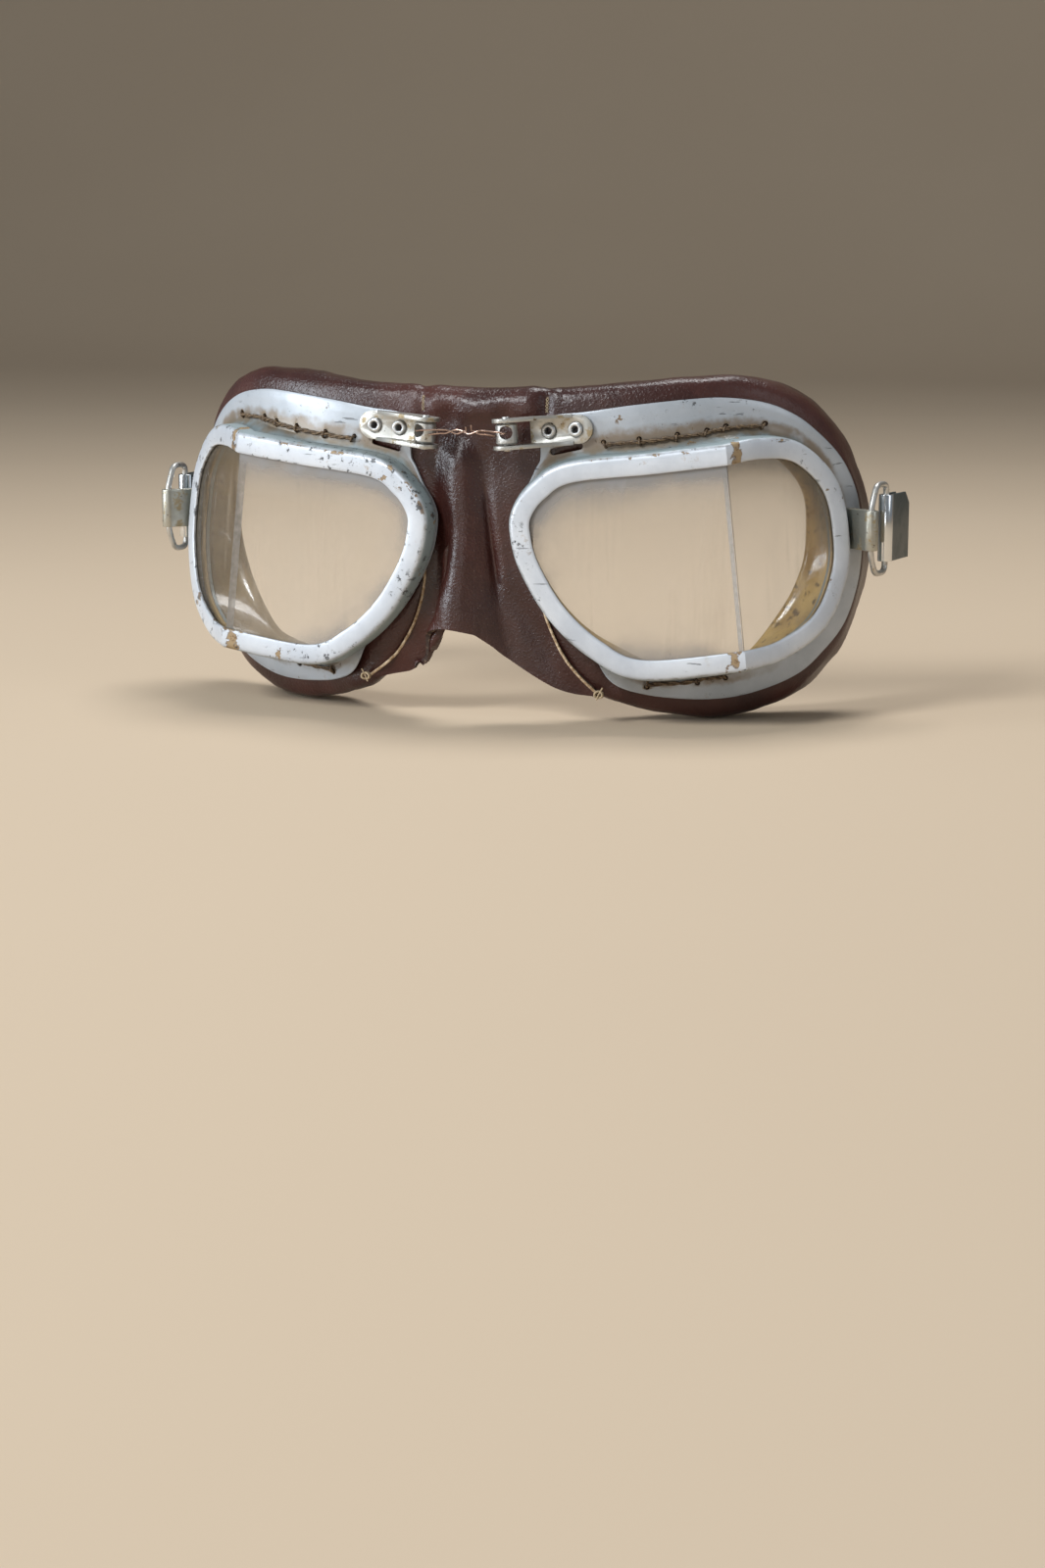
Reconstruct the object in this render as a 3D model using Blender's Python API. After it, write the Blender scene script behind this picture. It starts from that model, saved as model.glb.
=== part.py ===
"""Flying goggles with split angular lenses, a hinged bridge and a leather face mask.

Metres, +Z up, worn upright. The goggles face -Y and +X is the wearer's left.
The origin lies midway between the two bridge hinges.
"""

import math

import bmesh
import bpy
from mathutils import Matrix, Vector

for thing in list(bpy.data.objects):
    bpy.data.objects.remove(thing, do_unlink=True)

# The wearer's left is at +X. Each eye is drawn on that side and mirrored for the other.
SIDES = {"left": 1, "right": -1}

# General fits
SEAT_GAP = 0.0003
CUT_OVERRUN = 0.0015

# Lens opening, measured on the glass as if both panes lay flat
NASAL_EDGE_X = 0.0155
NASAL_EDGE_Y = 0.0015
FRONT_PANE_WIDTH = 0.0493
SIDE_PANE_WIDTH = 0.0287
OPENING_HEIGHT = 0.0437
OPENING_DROP = 0.00705
OPENING_MIDDLE_Z = -(OPENING_DROP + OPENING_HEIGHT / 2)
FRONT_WRAP = math.radians(7.5)
SIDE_WRAP = math.radians(48.0)
FOLD_LEAN = math.radians(6.2)
# The folded opening's width, and how far back its temple end lies
OPENING_WIDTH = FRONT_PANE_WIDTH * math.cos(FRONT_WRAP) + SIDE_PANE_WIDTH * math.cos(SIDE_WRAP)
TEMPLE_END_Y = (
    NASAL_EDGE_Y + FRONT_PANE_WIDTH * math.sin(FRONT_WRAP) + SIDE_PANE_WIDTH * math.sin(SIDE_WRAP)
)

# Lens rim, a pressed metal bezel round both panes
RIM_FACE_WIDTH = 0.0042
RIM_SHOULDER = 0.0009
RIM_DEPTH = 0.0044
RIM_FLARE = 0.0004
RIM_WALL = 0.0007

# Glass and its seal
GLASS_THICKNESS = 0.0018
GLASS_COVER = 0.0031
GLASS_JOINT = 0.0003
SEAL_INSET = 0.0013
SEAL_THICKNESS = 0.0007

# Frame plate: a collar that carries the glass and a wide flange that follows the face
PLATE_WALL = 0.0008
COLLAR_INSET = 0.0015
COLLAR_FLARE = 0.0019
COLLAR_NASAL_FLARE = 0.0004
COLLAR_BLEND = 0.022
FLANGE_LEAST_LIP = 0.0009
EYE_MIDDLE_SHARE = 0.4774
EYE_MIDDLE = Vector((NASAL_EDGE_X + OPENING_WIDTH * EYE_MIDDLE_SHARE, OPENING_MIDDLE_Z))
TEMPLE_LIP = 0.0032
EYE_WIDTH = NASAL_EDGE_X + OPENING_WIDTH + TEMPLE_LIP
FACE_START_Y = 0.0068
TEMPLE_STAND = 0.01274
FACE_SWEEP = TEMPLE_END_Y + TEMPLE_STAND - FACE_START_Y
FACE_SWEEP_POWER = 2.9
CHEEK_RECESS = 0.008
CHEEK_DEPTH_Z = 0.065
CHEEK_START_X = 0.024
CHEEK_FULL_X = 0.047
FLANGE_MARGINS = 0.0298
FLANGE_HEIGHT = OPENING_HEIGHT + FLANGE_MARGINS
NASAL_SHARE = 0.42
NASAL_BLEND_SHARE = 0.2
BROW_END_Z = -0.0125
BROW_BLEND = 0.005

# Lacing of the mask to the flange
LACE_OFFSET = 0.0083
LACE_CLEARANCE = 0.0026
LACE_HOLE_R = 0.0006
LACE_THREAD_R = 0.00045

# Face pad, a stuffed leather roll behind the flange
PAD_DEPTH = 0.0155
PAD_NASAL_DEPTH = 0.007
PAD_INNER_CLEARANCE = 0.0012
PAD_MARGINS = 0.01
PAD_HEIGHT = FLANGE_HEIGHT + PAD_MARGINS
LINING_THICKNESS = 0.0005
LINING_REACH = 0.0062

# Bridge hinge: a channel bracket on each flange, turning on a drilled barrel
HINGE_X = 0.0102
BRACKET_TILT = math.radians(4.0)
BRACKET_YAW = math.radians(4.5)
BRACKET_HEIGHT = 0.0073
BRACKET_DROP = 0.0004
BRACKET_REACH = 0.0194
BRACKET_WALL = 0.0009
SHEET_BEND = 0.0002
BRACKET_WEB_START = 0.0042
BRACKET_EAR_REACH = 0.0145
BARREL_R = 0.0026
BARREL_HOLE_R = 0.0016
PIVOT_R = 0.0009
PIVOT_STAND = 0.0004
RIVET_PITCH = 0.0065
RIVET_INNER_X = 0.0086
RIVET_HEAD_R = 0.0018
RIVET_HEAD_HEIGHT = 0.0004
RIVET_SHANK_R = 0.0013
RIVET_BORE_R = 0.0008
RIVET_TAIL = 0.0005
BARREL_TURNS = {"left": math.radians(12.0), "right": math.radians(-26.0)}

# Bridge wire, one thin wire laced through both barrels and twisted between them
WIRE_R = 0.0002
TWIST_R = 0.00043
TWIST_HALF_LENGTH = 0.0046
TWIST_TURNS = 3
TWIST_Y = -0.0023
WIRE_TAIL = 0.0014
WIRE_PARTING = 0.0006

# Strap lug on the temple, its wire loop and the strap-end clasp
LUG_REACH = 0.004918
LUG_BEHIND = 0.002937
LUG_RISE = 0.0053
KNUCKLE_X = EYE_WIDTH + LUG_REACH
KNUCKLE_Y = TEMPLE_END_Y + LUG_BEHIND
KNUCKLE_Z = OPENING_MIDDLE_Z + LUG_RISE
KNUCKLE_HEIGHT = 0.0096
LUG_WALL = 0.0006
LOOP_WIRE_R = 0.0008
LOOP_CLEARANCE = 0.0003
LOOP_HEIGHT = 0.0215
LOOP_REACH = 0.0088
LOOP_BEND_R = 0.0022
LOOP_ANGLES = {"left": math.radians(77.5), "right": math.radians(96.0)}
CLASP_HEIGHT = 0.0162
CLASP_LENGTH = 0.0125
CLASP_WALL = 0.0007
CLASP_GRIP = 0.0013
CLASP_SHORT_LEAF = 0.0085
CLASP_CHAMFER = 0.0028
CLASP_ANGLES = {"left": math.radians(80.0), "right": math.radians(90.0)}

# Nose bridge, a leather piece between the two face pads
NOSE_SKIN = 0.0014
NOSE_ARCH_SHARE = 0.569
BROW_ROLL_R = 0.0055
NOSE_RIDGE_Y = 0.0072

# Shares of the front pane's width and of the opening's height, from the fold over the nose
FRONT_SHARES = (
    ((1.0, 0.5), 4),
    ((0.6, 0.447), 4),
    ((0.21, 0.395), 3),
    ((0.076, 0.308), 2),
    ((0.008, 0.21), 2),
    ((0.0, 0.12), 2),
    ((0.04, -0.045), 3),
    ((0.17, -0.285), 3),
    ((0.355, -0.47), 3),
    ((0.57, -0.565), 4),
    ((1.0, -0.5), 0),
)
# Shares of the side pane's width and of the opening's height, from the fold round the temple
SIDE_SHARES = (
    ((0.0, -0.5), 2),
    ((0.43, -0.46), 3),
    ((0.80, -0.33), 3),
    ((0.975, -0.12), 3),
    ((1.0, 0.07), 3),
    ((0.90, 0.33), 3),
    ((0.6, 0.5), 3),
    ((0.25, 0.527), 2),
    ((0.0, 0.5), 0),
)
# Shares of the eye's width and of the flange's height
FLANGE_SHARES = (
    (0.188, -0.09),
    (0.186, 0.03),
    (0.225, 0.052),
    (0.315, 0.064),
    (0.43, 0.085),
    (0.575, 0.105),
    (0.67, 0.111),
    (0.765, 0.096),
    (0.835, 0.06),
    (0.89, 0.006),
    (0.95, -0.085),
    (0.985, -0.19),
    (0.999, -0.3),
    (1.0, -0.42),
    (0.988, -0.535),
    (0.957, -0.655),
    (0.905, -0.745),
    (0.85, -0.81),
    (0.765, -0.857),
    (0.67, -0.883),
    (0.57, -0.892),
    (0.47, -0.88),
    (0.39, -0.845),
    (0.325, -0.68),
    (0.25, -0.57),
    (0.19, -0.475),
    (0.153, -0.39),
    (0.138, -0.31),
    (0.142, -0.235),
    (0.16, -0.165),
)
# Shares of the eye's width and of the pad's height
PAD_SHARES = (
    (0.155, 0.09),
    (0.185, 0.125),
    (0.28, 0.127),
    (0.46, 0.145),
    (0.65, 0.16),
    (0.755, 0.144),
    (0.84, 0.106),
    (0.905, 0.04),
    (0.95, -0.045),
    (0.975, -0.13),
    (0.993, -0.24),
    (0.996, -0.36),
    (0.988, -0.48),
    (0.965, -0.575),
    (0.925, -0.67),
    (0.845, -0.77),
    (0.72, -0.828),
    (0.615, -0.843),
    (0.49, -0.826),
    (0.42, -0.8),
    (0.33, -0.765),
    (0.26, -0.7),
    (0.2, -0.62),
    (0.152, -0.54),
    (0.118, -0.43),
    (0.1, -0.31),
    (0.096, -0.17),
    (0.104, -0.04),
)
# Where the lace passes through the flange: above, shares of the way from the bracket's end to
# the fold, and below, shares of the front pane's width
TOP_LACE_SHARES = (0.032, 0.289, 0.577, 0.849, 1.091, 1.363)
BOTTOM_LACE_SHARES = (0.56, 0.78, 1.0)
TOP_LACE_START = HINGE_X + BRACKET_REACH + LACE_CLEARANCE - NASAL_EDGE_X


def spline(points, counts, closed=False):
    """Points on a smooth curve through the given ones, with so many steps on each stretch."""
    total = len(points)
    found = []
    for index, steps in enumerate(counts):
        if closed:
            ring = [points[(index + k) % total] for k in (-1, 0, 1, 2)]
        else:
            ring = [points[min(max(index + k, 0), total - 1)] for k in (-1, 0, 1, 2)]
        before, start, end, after = ring
        for step in range(steps):
            t = step / steps
            found.append(
                0.5
                * (
                    2 * start
                    + (end - before) * t
                    + (2 * before - 5 * start + 4 * end - after) * t**2
                    + (3 * start - before - 3 * end + after) * t**3
                )
            )
    if not closed:
        found.append(points[-1].copy())
    return found


FOLD_U = FRONT_PANE_WIDTH
LEAN_SLOPE = math.tan(FOLD_LEAN)
FRONT_ALONG = Vector((math.cos(FRONT_WRAP), math.sin(FRONT_WRAP), 0))
SIDE_ALONG = Vector((math.cos(SIDE_WRAP), math.sin(SIDE_WRAP), 0))
FOLD_DOWN = FRONT_ALONG * math.sin(FOLD_LEAN) - Vector((0, 0, math.cos(FOLD_LEAN)))
FRONT_OUT = FOLD_DOWN.cross(FRONT_ALONG).normalized()
SIDE_OUT = FOLD_DOWN.cross(SIDE_ALONG).normalized()
MITRE_OUT = (FRONT_OUT + SIDE_OUT) / (1 + FRONT_OUT.dot(SIDE_OUT))


def eased(share):
    """0 up to a share of 0 and 1 from a share of 1, with a smooth rise between."""
    held = min(max(share, 0.0), 1.0)
    return held * held * (3 - 2 * held)


def fold_u(z):
    return FOLD_U + LEAN_SLOPE * (OPENING_MIDDLE_Z - z)


def on_glass(kind, u, z):
    """A point of the flat pattern, folded onto the panes' outer faces."""
    start = Vector((NASAL_EDGE_X, NASAL_EDGE_Y, z))
    if kind == "side":
        return start + FRONT_ALONG * fold_u(z) + SIDE_ALONG * (u - fold_u(z))
    return start + FRONT_ALONG * u


def opening_stations():
    """The opening's edge as stations: which pane, place on the flat pattern, outward direction."""
    front = [
        Vector((share[0] * FOLD_U, OPENING_MIDDLE_Z + share[1] * OPENING_HEIGHT))
        for share, _ in FRONT_SHARES
    ]
    side = [
        Vector((FOLD_U + share[0] * SIDE_PANE_WIDTH, OPENING_MIDDLE_Z + share[1] * OPENING_HEIGHT))
        for share, _ in SIDE_SHARES
    ]
    for corner in (front[0], front[-1], side[0], side[-1]):
        corner.x = fold_u(corner.y)
    front_run = spline(front, [steps for _, steps in FRONT_SHARES[:-1]])
    side_run = spline(side, [steps for _, steps in SIDE_SHARES[:-1]])
    places = [("front", p) for p in front_run[1:-1]]
    places.append(("fold", front_run[-1]))
    places += [("side", p) for p in side_run[1:-1]]
    places.append(("fold", front_run[0]))
    stations = []
    for index, (kind, place) in enumerate(places):
        before = places[index - 1][1]
        after = places[(index + 1) % len(places)][1]
        along = (after - before).normalized()
        outward = Vector((-along.y, along.x))
        if outward.dot(place - Vector((FOLD_U * 0.8, OPENING_MIDDLE_Z))) < 0:
            outward.negate()
        if kind == "fold":
            down = Vector((math.sin(FOLD_LEAN), -math.cos(FOLD_LEAN)))
            outward = down / down.dot(outward)
        stations.append((kind, place, outward))
    return stations


STATIONS = opening_stations()
OUT_BY_KIND = {"front": FRONT_OUT, "side": SIDE_OUT, "fold": MITRE_OUT}


def at(index, offset, depth):
    """The point that far outside the opening's edge and that far behind the glass's face."""
    kind, place, outward = STATIONS[index]
    moved = place + outward * offset
    return on_glass(kind, moved.x, moved.y) - OUT_BY_KIND[kind] * depth


def face_y(x, z):
    """How far back the flange lies: it follows the brow, the temple and the cheek."""
    sweep = FACE_SWEEP * (abs(x) / EYE_WIDTH) ** FACE_SWEEP_POWER
    cheek = eased((abs(x) - CHEEK_START_X) / (CHEEK_FULL_X - CHEEK_START_X))
    return FACE_START_Y + sweep + CHEEK_RECESS * cheek * max(0.0, -z / CHEEK_DEPTH_Z)


def back_direction(index):
    """The way the collar runs back: it turns gradually from one pane's to the other's."""
    place = STATIONS[index][1]
    share = eased((place.x - fold_u(place.y)) / (2 * COLLAR_BLEND) + 0.5)
    return -(FRONT_OUT * (1 - share) + SIDE_OUT * share).normalized()


def at_face(index, offset, behind):
    """Where a line back from the frame's seat meets the surface that far behind the flange."""
    kind, place, _ = STATIONS[index]
    near = [STATIONS[(index + k) % len(STATIONS)][2].normalized() for k in (-1, 0, 1)]
    moved = place + (near[0] + near[1] + near[2]).normalized() * offset
    start = on_glass(kind, moved.x, moved.y) - OUT_BY_KIND[kind] * RIM_DEPTH
    along = back_direction(index)
    low, high = 0.0, FACE_SWEEP
    for _ in range(40):
        middle = (low + high) / 2
        point = start + along * middle
        if point.y < face_y(point.x, point.z) + behind:
            low = middle
        else:
            high = middle
    return start + along * low


def outline_of(shares, height):
    corners = [Vector((u * EYE_WIDTH, v * height)) for u, v in shares]
    return spline(corners, [6] * len(corners), closed=True)


def distance_to(outline, start, direction):
    """How far the outline lies from a start inside it, along a direction. 0 where it is passed."""
    best = 0.0
    for a, b in zip(outline, outline[1:] + outline[:1]):
        edge = b - a
        across = direction.x * edge.y - direction.y * edge.x
        if abs(across) < 1e-12:
            continue
        gap = a - start
        along = (gap.x * edge.y - gap.y * edge.x) / across
        share = (gap.x * direction.y - gap.y * direction.x) / across
        if along > 0 and 0 <= share <= 1:
            best = along if best == 0.0 else min(best, along)
    return best


def front_view(point):
    return Vector((point.x, point.z))


def on_face(flat, behind):
    return Vector((flat.x, face_y(flat.x, flat.y) + behind, flat.y))


def material(name, colour, roughness, metallic=0.0, alpha=1.0):
    made = bpy.data.materials.new(name)
    made.use_nodes = True
    shader = made.node_tree.nodes["Principled BSDF"]
    shader.inputs["Base Color"].default_value = (*colour, 1.0)
    shader.inputs["Roughness"].default_value = roughness
    shader.inputs["Metallic"].default_value = metallic
    shader.inputs["Alpha"].default_value = alpha
    return made


MATERIALS = {
    "rim_paint": material("rim_paint", (0.66, 0.71, 0.76), 0.4, 0.2),
    "flange_paint": material("flange_paint", (0.42, 0.48, 0.54), 0.45, 0.2),
    "lens_glass": material("lens_glass", (0.75, 0.70, 0.60), 0.1, alpha=0.35),
    "seal_cork": material("seal_cork", (0.55, 0.40, 0.18), 0.7),
    "nickel": material("nickel", (0.55, 0.54, 0.50), 0.3, 1.0),
    "worn_brass": material("worn_brass", (0.42, 0.36, 0.20), 0.45, 1.0),
    "chrome": material("chrome", (0.60, 0.62, 0.65), 0.12, 1.0),
    "copper": material("copper", (0.62, 0.40, 0.32), 0.35, 1.0),
    "waxed_thread": material("waxed_thread", (0.24, 0.14, 0.07), 0.7),
    "brown_leather": material("brown_leather", (0.075, 0.028, 0.022), 0.42),
    "tan_lining": material("tan_lining", (0.50, 0.38, 0.22), 0.75),
}


def add_object(name, mesh, finish):
    made = bpy.data.objects.new(name, mesh)
    bpy.context.scene.collection.objects.link(made)
    made.data.materials.append(MATERIALS[finish])
    return made


def closed_mesh(name, vertices, faces):
    """A mesh of these faces, turned to point outwards and shaded smooth where it is round."""
    mesh = bpy.data.meshes.new(name)
    mesh.from_pydata([tuple(v) for v in vertices], [], faces)
    shape = bmesh.new()
    shape.from_mesh(mesh)
    bmesh.ops.recalc_face_normals(shape, faces=shape.faces)
    if shape.calc_volume(signed=True) < 0:
        bmesh.ops.reverse_faces(shape, faces=shape.faces)
    shape.to_mesh(mesh)
    shape.free()
    mesh.shade_smooth()
    mesh.set_sharp_from_angle(angle=math.radians(35.0))
    return mesh


def mirrored(point, side):
    return Vector((point.x * side, point.y, point.z))


def add_rings(name, finish, rings, side, closed=True):
    """A solid through rings of points. Closed rings of rings make a frame, open ones a bar."""
    size = len(rings[0])
    count = len(rings)
    vertices = [mirrored(p, side) for ring in rings for p in ring]
    faces = []
    for index in range(count if closed else count - 1):
        following = (index + 1) % count
        for k in range(size):
            nxt = (k + 1) % size
            faces.append(
                (
                    index * size + k,
                    index * size + nxt,
                    following * size + nxt,
                    following * size + k,
                )
            )
    if not closed:
        faces.append(tuple(range(size)))
        faces.append(tuple(range((count - 1) * size, count * size)))
    return add_object(name, closed_mesh(name, vertices, faces), finish)


def add_prism(name, finish, outline, lift, side=1, frame=None):
    """An outline of points moved by a vector to give it its thickness."""
    place = frame if frame else Matrix.Identity(4)
    near = [mirrored(place @ p, side) for p in outline]
    far = [mirrored(place @ (p + lift), side) for p in outline]
    count = len(outline)
    faces = [tuple(range(count)), tuple(range(count, 2 * count))]
    for k in range(count):
        nxt = (k + 1) % count
        faces.append((k, nxt, count + nxt, count + k))
    return add_object(name, closed_mesh(name, near + far, faces), finish)


def cut(target, cutter):
    hole = target.modifiers.new("cut", "BOOLEAN")
    hole.operation = "DIFFERENCE"
    hole.solver = "EXACT"
    hole.object = cutter
    cutter.hide_render = True
    cutter.display_type = "WIRE"


def join(target, other):
    weld = target.modifiers.new("join", "BOOLEAN")
    weld.operation = "UNION"
    weld.solver = "EXACT"
    weld.object = other
    other.hide_render = True
    other.display_type = "WIRE"


def circle(radius, count, centre=(0, 0), start=0.0, turn=math.tau):
    """Points round a circle or an arc, in a plane."""
    steps = count if turn == math.tau else count - 1
    return [
        Vector(
            (
                centre[0] + radius * math.cos(start + turn * k / steps),
                centre[1] + radius * math.sin(start + turn * k / steps),
            )
        )
        for k in range(count)
    ]


def add_rod(name, finish, start, end, radius, sides, side=1):
    """A round bar between two points."""
    along = (end - start).normalized()
    across = along.orthogonal().normalized()
    other = along.cross(across)
    rings = []
    for place in (start, end):
        rings.append([place + across * p.x + other * p.y for p in circle(radius, sides)])
    return add_rings(name, finish, rings, side, closed=False)


# Lens rim, glass, seal and frame plate


def add_lens_rim(name, side):
    outer = RIM_FACE_WIDTH + RIM_SHOULDER
    section = (
        (0.0, RIM_WALL * 0.4),
        (RIM_WALL * 0.4, 0.0),
        (RIM_FACE_WIDTH, 0.0),
        (RIM_FACE_WIDTH + RIM_SHOULDER * 0.7, RIM_SHOULDER * 0.3),
        (outer, RIM_SHOULDER),
        (outer + RIM_FLARE, RIM_DEPTH),
        (outer + RIM_FLARE - RIM_WALL, RIM_DEPTH),
        (outer - RIM_WALL, RIM_SHOULDER + RIM_WALL * 0.5),
        (RIM_FACE_WIDTH - RIM_WALL * 0.5, RIM_WALL),
        (0.0, RIM_WALL),
    )
    rings = [[at(i, o, d) for o, d in section] for i in range(len(STATIONS))]
    return add_rings(name, "rim_paint", rings, side)


def add_pane(name, side, kind):
    """One flat pane, cut along the fold so that the two panes meet in a fine joint."""
    front_depth = RIM_WALL + SEAT_GAP
    run = [i for i, station in enumerate(STATIONS) if station[0] in (kind, "fold")]
    folds = [i for i in run if STATIONS[i][0] == "fold"]
    # The run starts just after one fold and ends at the other.
    first = folds[1] if kind == "front" else folds[0]
    order = run[run.index(first) :] + run[: run.index(first)]
    along = FRONT_ALONG if kind == "front" else -SIDE_ALONG
    rings = []
    for depth in (front_depth, front_depth + GLASS_THICKNESS):
        ring = []
        for index in order:
            point = at(index, GLASS_COVER, depth)
            if index in folds:
                point -= along * GLASS_JOINT
            ring.append(point)
        rings.append(ring)
    return add_rings(name, "lens_glass", rings, side, closed=False)


def add_lens_seal(name, side):
    """The soft gasket ring behind the glass."""
    front = RIM_WALL + SEAT_GAP + GLASS_THICKNESS + SEAT_GAP
    back = front + SEAL_THICKNESS
    section = (
        (SEAL_INSET, front),
        (GLASS_COVER, front),
        (GLASS_COVER, back),
        (SEAL_INSET, back),
    )
    rings = [[at(i, o, d) for o, d in section] for i in range(len(STATIONS))]
    return add_rings(name, "seal_cork", rings, side)


COLLAR_FRONT = RIM_WALL + GLASS_THICKNESS + SEAL_THICKNESS + 3 * SEAT_GAP
COLLAR_OUTER = RIM_FACE_WIDTH + RIM_SHOULDER - RIM_WALL - 2 * SEAT_GAP
COLLAR_FOOT = RIM_FACE_WIDTH + RIM_SHOULDER + COLLAR_FLARE
NASAL_FOOT = COLLAR_OUTER + COLLAR_NASAL_FLARE
FLANGE_OUTLINE = outline_of(FLANGE_SHARES, FLANGE_HEIGHT)
PAD_OUTLINE = outline_of(PAD_SHARES, PAD_HEIGHT)


def foot_offset(index):
    """Where the collar meets the flange: tucked in behind the rim beside the nose."""
    place = STATIONS[index][1]
    beside_nose = 1 - eased((place.x / FOLD_U - NASAL_SHARE) / NASAL_BLEND_SHARE)
    below_brow = eased((BROW_END_Z - place.y) / BROW_BLEND)
    return COLLAR_FOOT + (NASAL_FOOT - COLLAR_FOOT) * beside_nose * below_brow


def outward_at(index):
    """The direction away from the middle of the eye, in the front view."""
    return (front_view(at_face(index, foot_offset(index), 0)) - EYE_MIDDLE).normalized()


def flange_edge(index):
    """The flange's outer edge at a station, in the front view."""
    foot = front_view(at_face(index, foot_offset(index), 0))
    away = outward_at(index)
    least = (foot - EYE_MIDDLE).length + FLANGE_LEAST_LIP
    return EYE_MIDDLE + away * max(least, distance_to(FLANGE_OUTLINE, EYE_MIDDLE, away))


def add_frame_plate(name, side):
    rings = []
    for i in range(len(STATIONS)):
        foot = at_face(i, foot_offset(i), 0)
        back_foot = at_face(i, foot_offset(i) - PLATE_WALL, PLATE_WALL)
        edge = flange_edge(i)
        rings.append(
            [
                at(i, COLLAR_INSET, COLLAR_FRONT),
                at(i, COLLAR_OUTER, COLLAR_FRONT),
                at(i, COLLAR_OUTER, COLLAR_FRONT + PLATE_WALL),
                foot,
                on_face(edge, 0),
                on_face(edge, PLATE_WALL),
                back_foot,
                at(i, COLLAR_OUTER - PLATE_WALL, COLLAR_FRONT + 2 * PLATE_WALL),
                at(i, COLLAR_OUTER - PLATE_WALL, COLLAR_FRONT + PLATE_WALL),
                at(i, COLLAR_INSET, COLLAR_FRONT + PLATE_WALL),
            ]
        )
    plate = add_rings(name, "flange_paint", rings, side)
    for row in (TOP_LACE_SHARES, BOTTOM_LACE_SHARES):
        for number, share in enumerate(row):
            hole = on_face(lace_place(share, row is TOP_LACE_SHARES), 0)
            reach = Vector((0, PLATE_WALL + CUT_OVERRUN, 0))
            cutter = add_rod("cutter", "flange_paint", hole - reach, hole + reach, LACE_HOLE_R, 8, side)
            cut(plate, cutter)
    for place in rivet_places():
        cut(plate, rivet_cutter(side, place, RIVET_SHANK_R + SEAT_GAP))
    return plate


def lace_line():
    """The lace's line on the flange, as the opening's stations give it."""
    return [(STATIONS[i][1], front_view(at_face(i, LACE_OFFSET, 0))) for i in range(len(STATIONS))]


def lace_place(share, top):
    """Where the lace's line crosses that share of its run, above or below the opening."""
    start = TOP_LACE_START if top else 0.0
    wanted = start + share * (FOLD_U - start)
    line = lace_line()
    for (a, flat_a), (b, flat_b) in zip(line, line[1:] + line[:1]):
        if (a.y > OPENING_MIDDLE_Z) != top:
            continue
        low, high = min(a.x, b.x), max(a.x, b.x)
        if low <= wanted <= high and high > low:
            part = (wanted - a.x) / (b.x - a.x)
            return flat_a + (flat_b - flat_a) * part
    return line[0][1]


def add_lace(name, side, shares):
    """A run of waxed thread in the gutter, from the first lace hole to the last."""
    top = shares is TOP_LACE_SHARES
    stand = LACE_THREAD_R + 2 * SEAT_GAP
    stops = []
    for first, second in zip(shares, shares[1:]):
        for step in range(4):
            stops.append(first + (second - first) * step / 4)
    stops.append(shares[-1])
    points = [on_face(lace_place(share, top), -stand) for share in stops]
    return add_tube(name, "waxed_thread", points, LACE_THREAD_R, 8, side)


def add_tube(name, finish, points, radius, sides, side, closed=False):
    """A round wire or thread along points."""
    count = len(points)
    rings = []
    across = None
    for index, place in enumerate(points):
        if closed:
            along = points[(index + 1) % count] - points[index - 1]
        else:
            along = points[min(index + 1, count - 1)] - points[max(index - 1, 0)]
        along.normalize()
        if across is None:
            across = along.orthogonal().normalized()
        across = (across - along * across.dot(along)).normalized()
        other = along.cross(across)
        rings.append([place + across * p.x + other * p.y for p in circle(radius, sides)])
    return add_rings(name, finish, rings, side, closed=closed)


# Face pad and its lining


def pad_depth_at(flat):
    """The roll is thin beside the nose and full on the brow, temple and cheek."""
    share = (flat.x - NASAL_EDGE_X) / (EYE_WIDTH - NASAL_EDGE_X)
    share = min(max(share * 3, 0.0), 1.0)
    return PAD_NASAL_DEPTH + (PAD_DEPTH - PAD_NASAL_DEPTH) * share


def add_face_pad(name, side):
    rings = []
    for i in range(len(STATIONS)):
        inner = front_view(at_face(i, foot_offset(i) - PLATE_WALL, PLATE_WALL))
        away = outward_at(i)
        edge = flange_edge(i)
        reach = distance_to(PAD_OUTLINE, EYE_MIDDLE, away) - (inner - EYE_MIDDLE).length
        lip = (edge - inner).length
        bulge = max(reach, lip + SEAT_GAP)
        depth = pad_depth_at(edge)
        front = PLATE_WALL + SEAT_GAP
        # Each corner is a way outwards from the inner wall and a way back from the flange.
        section = (
            (PAD_INNER_CLEARANCE, front),
            (min(lip, bulge) * 0.9, front),
            ((lip + bulge) / 2, front + depth * 0.08),
            (bulge, front + depth * 0.3),
            (bulge, front + depth * 0.55),
            (bulge * 0.85, front + depth * 0.82),
            (bulge * 0.6, front + depth),
            (bulge * 0.3, front + depth * 0.97),
            (PAD_INNER_CLEARANCE, front + depth * 0.75),
            (PAD_INNER_CLEARANCE * 0.6, front + depth * 0.4),
        )
        rings.append([on_face(inner + away * way, behind) for way, behind in section])
    pad = add_rings(name, "brown_leather", rings, side)
    for place in rivet_places():
        cut(pad, rivet_cutter(side, place, RIVET_HEAD_R + SEAT_GAP))
    return pad


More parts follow.
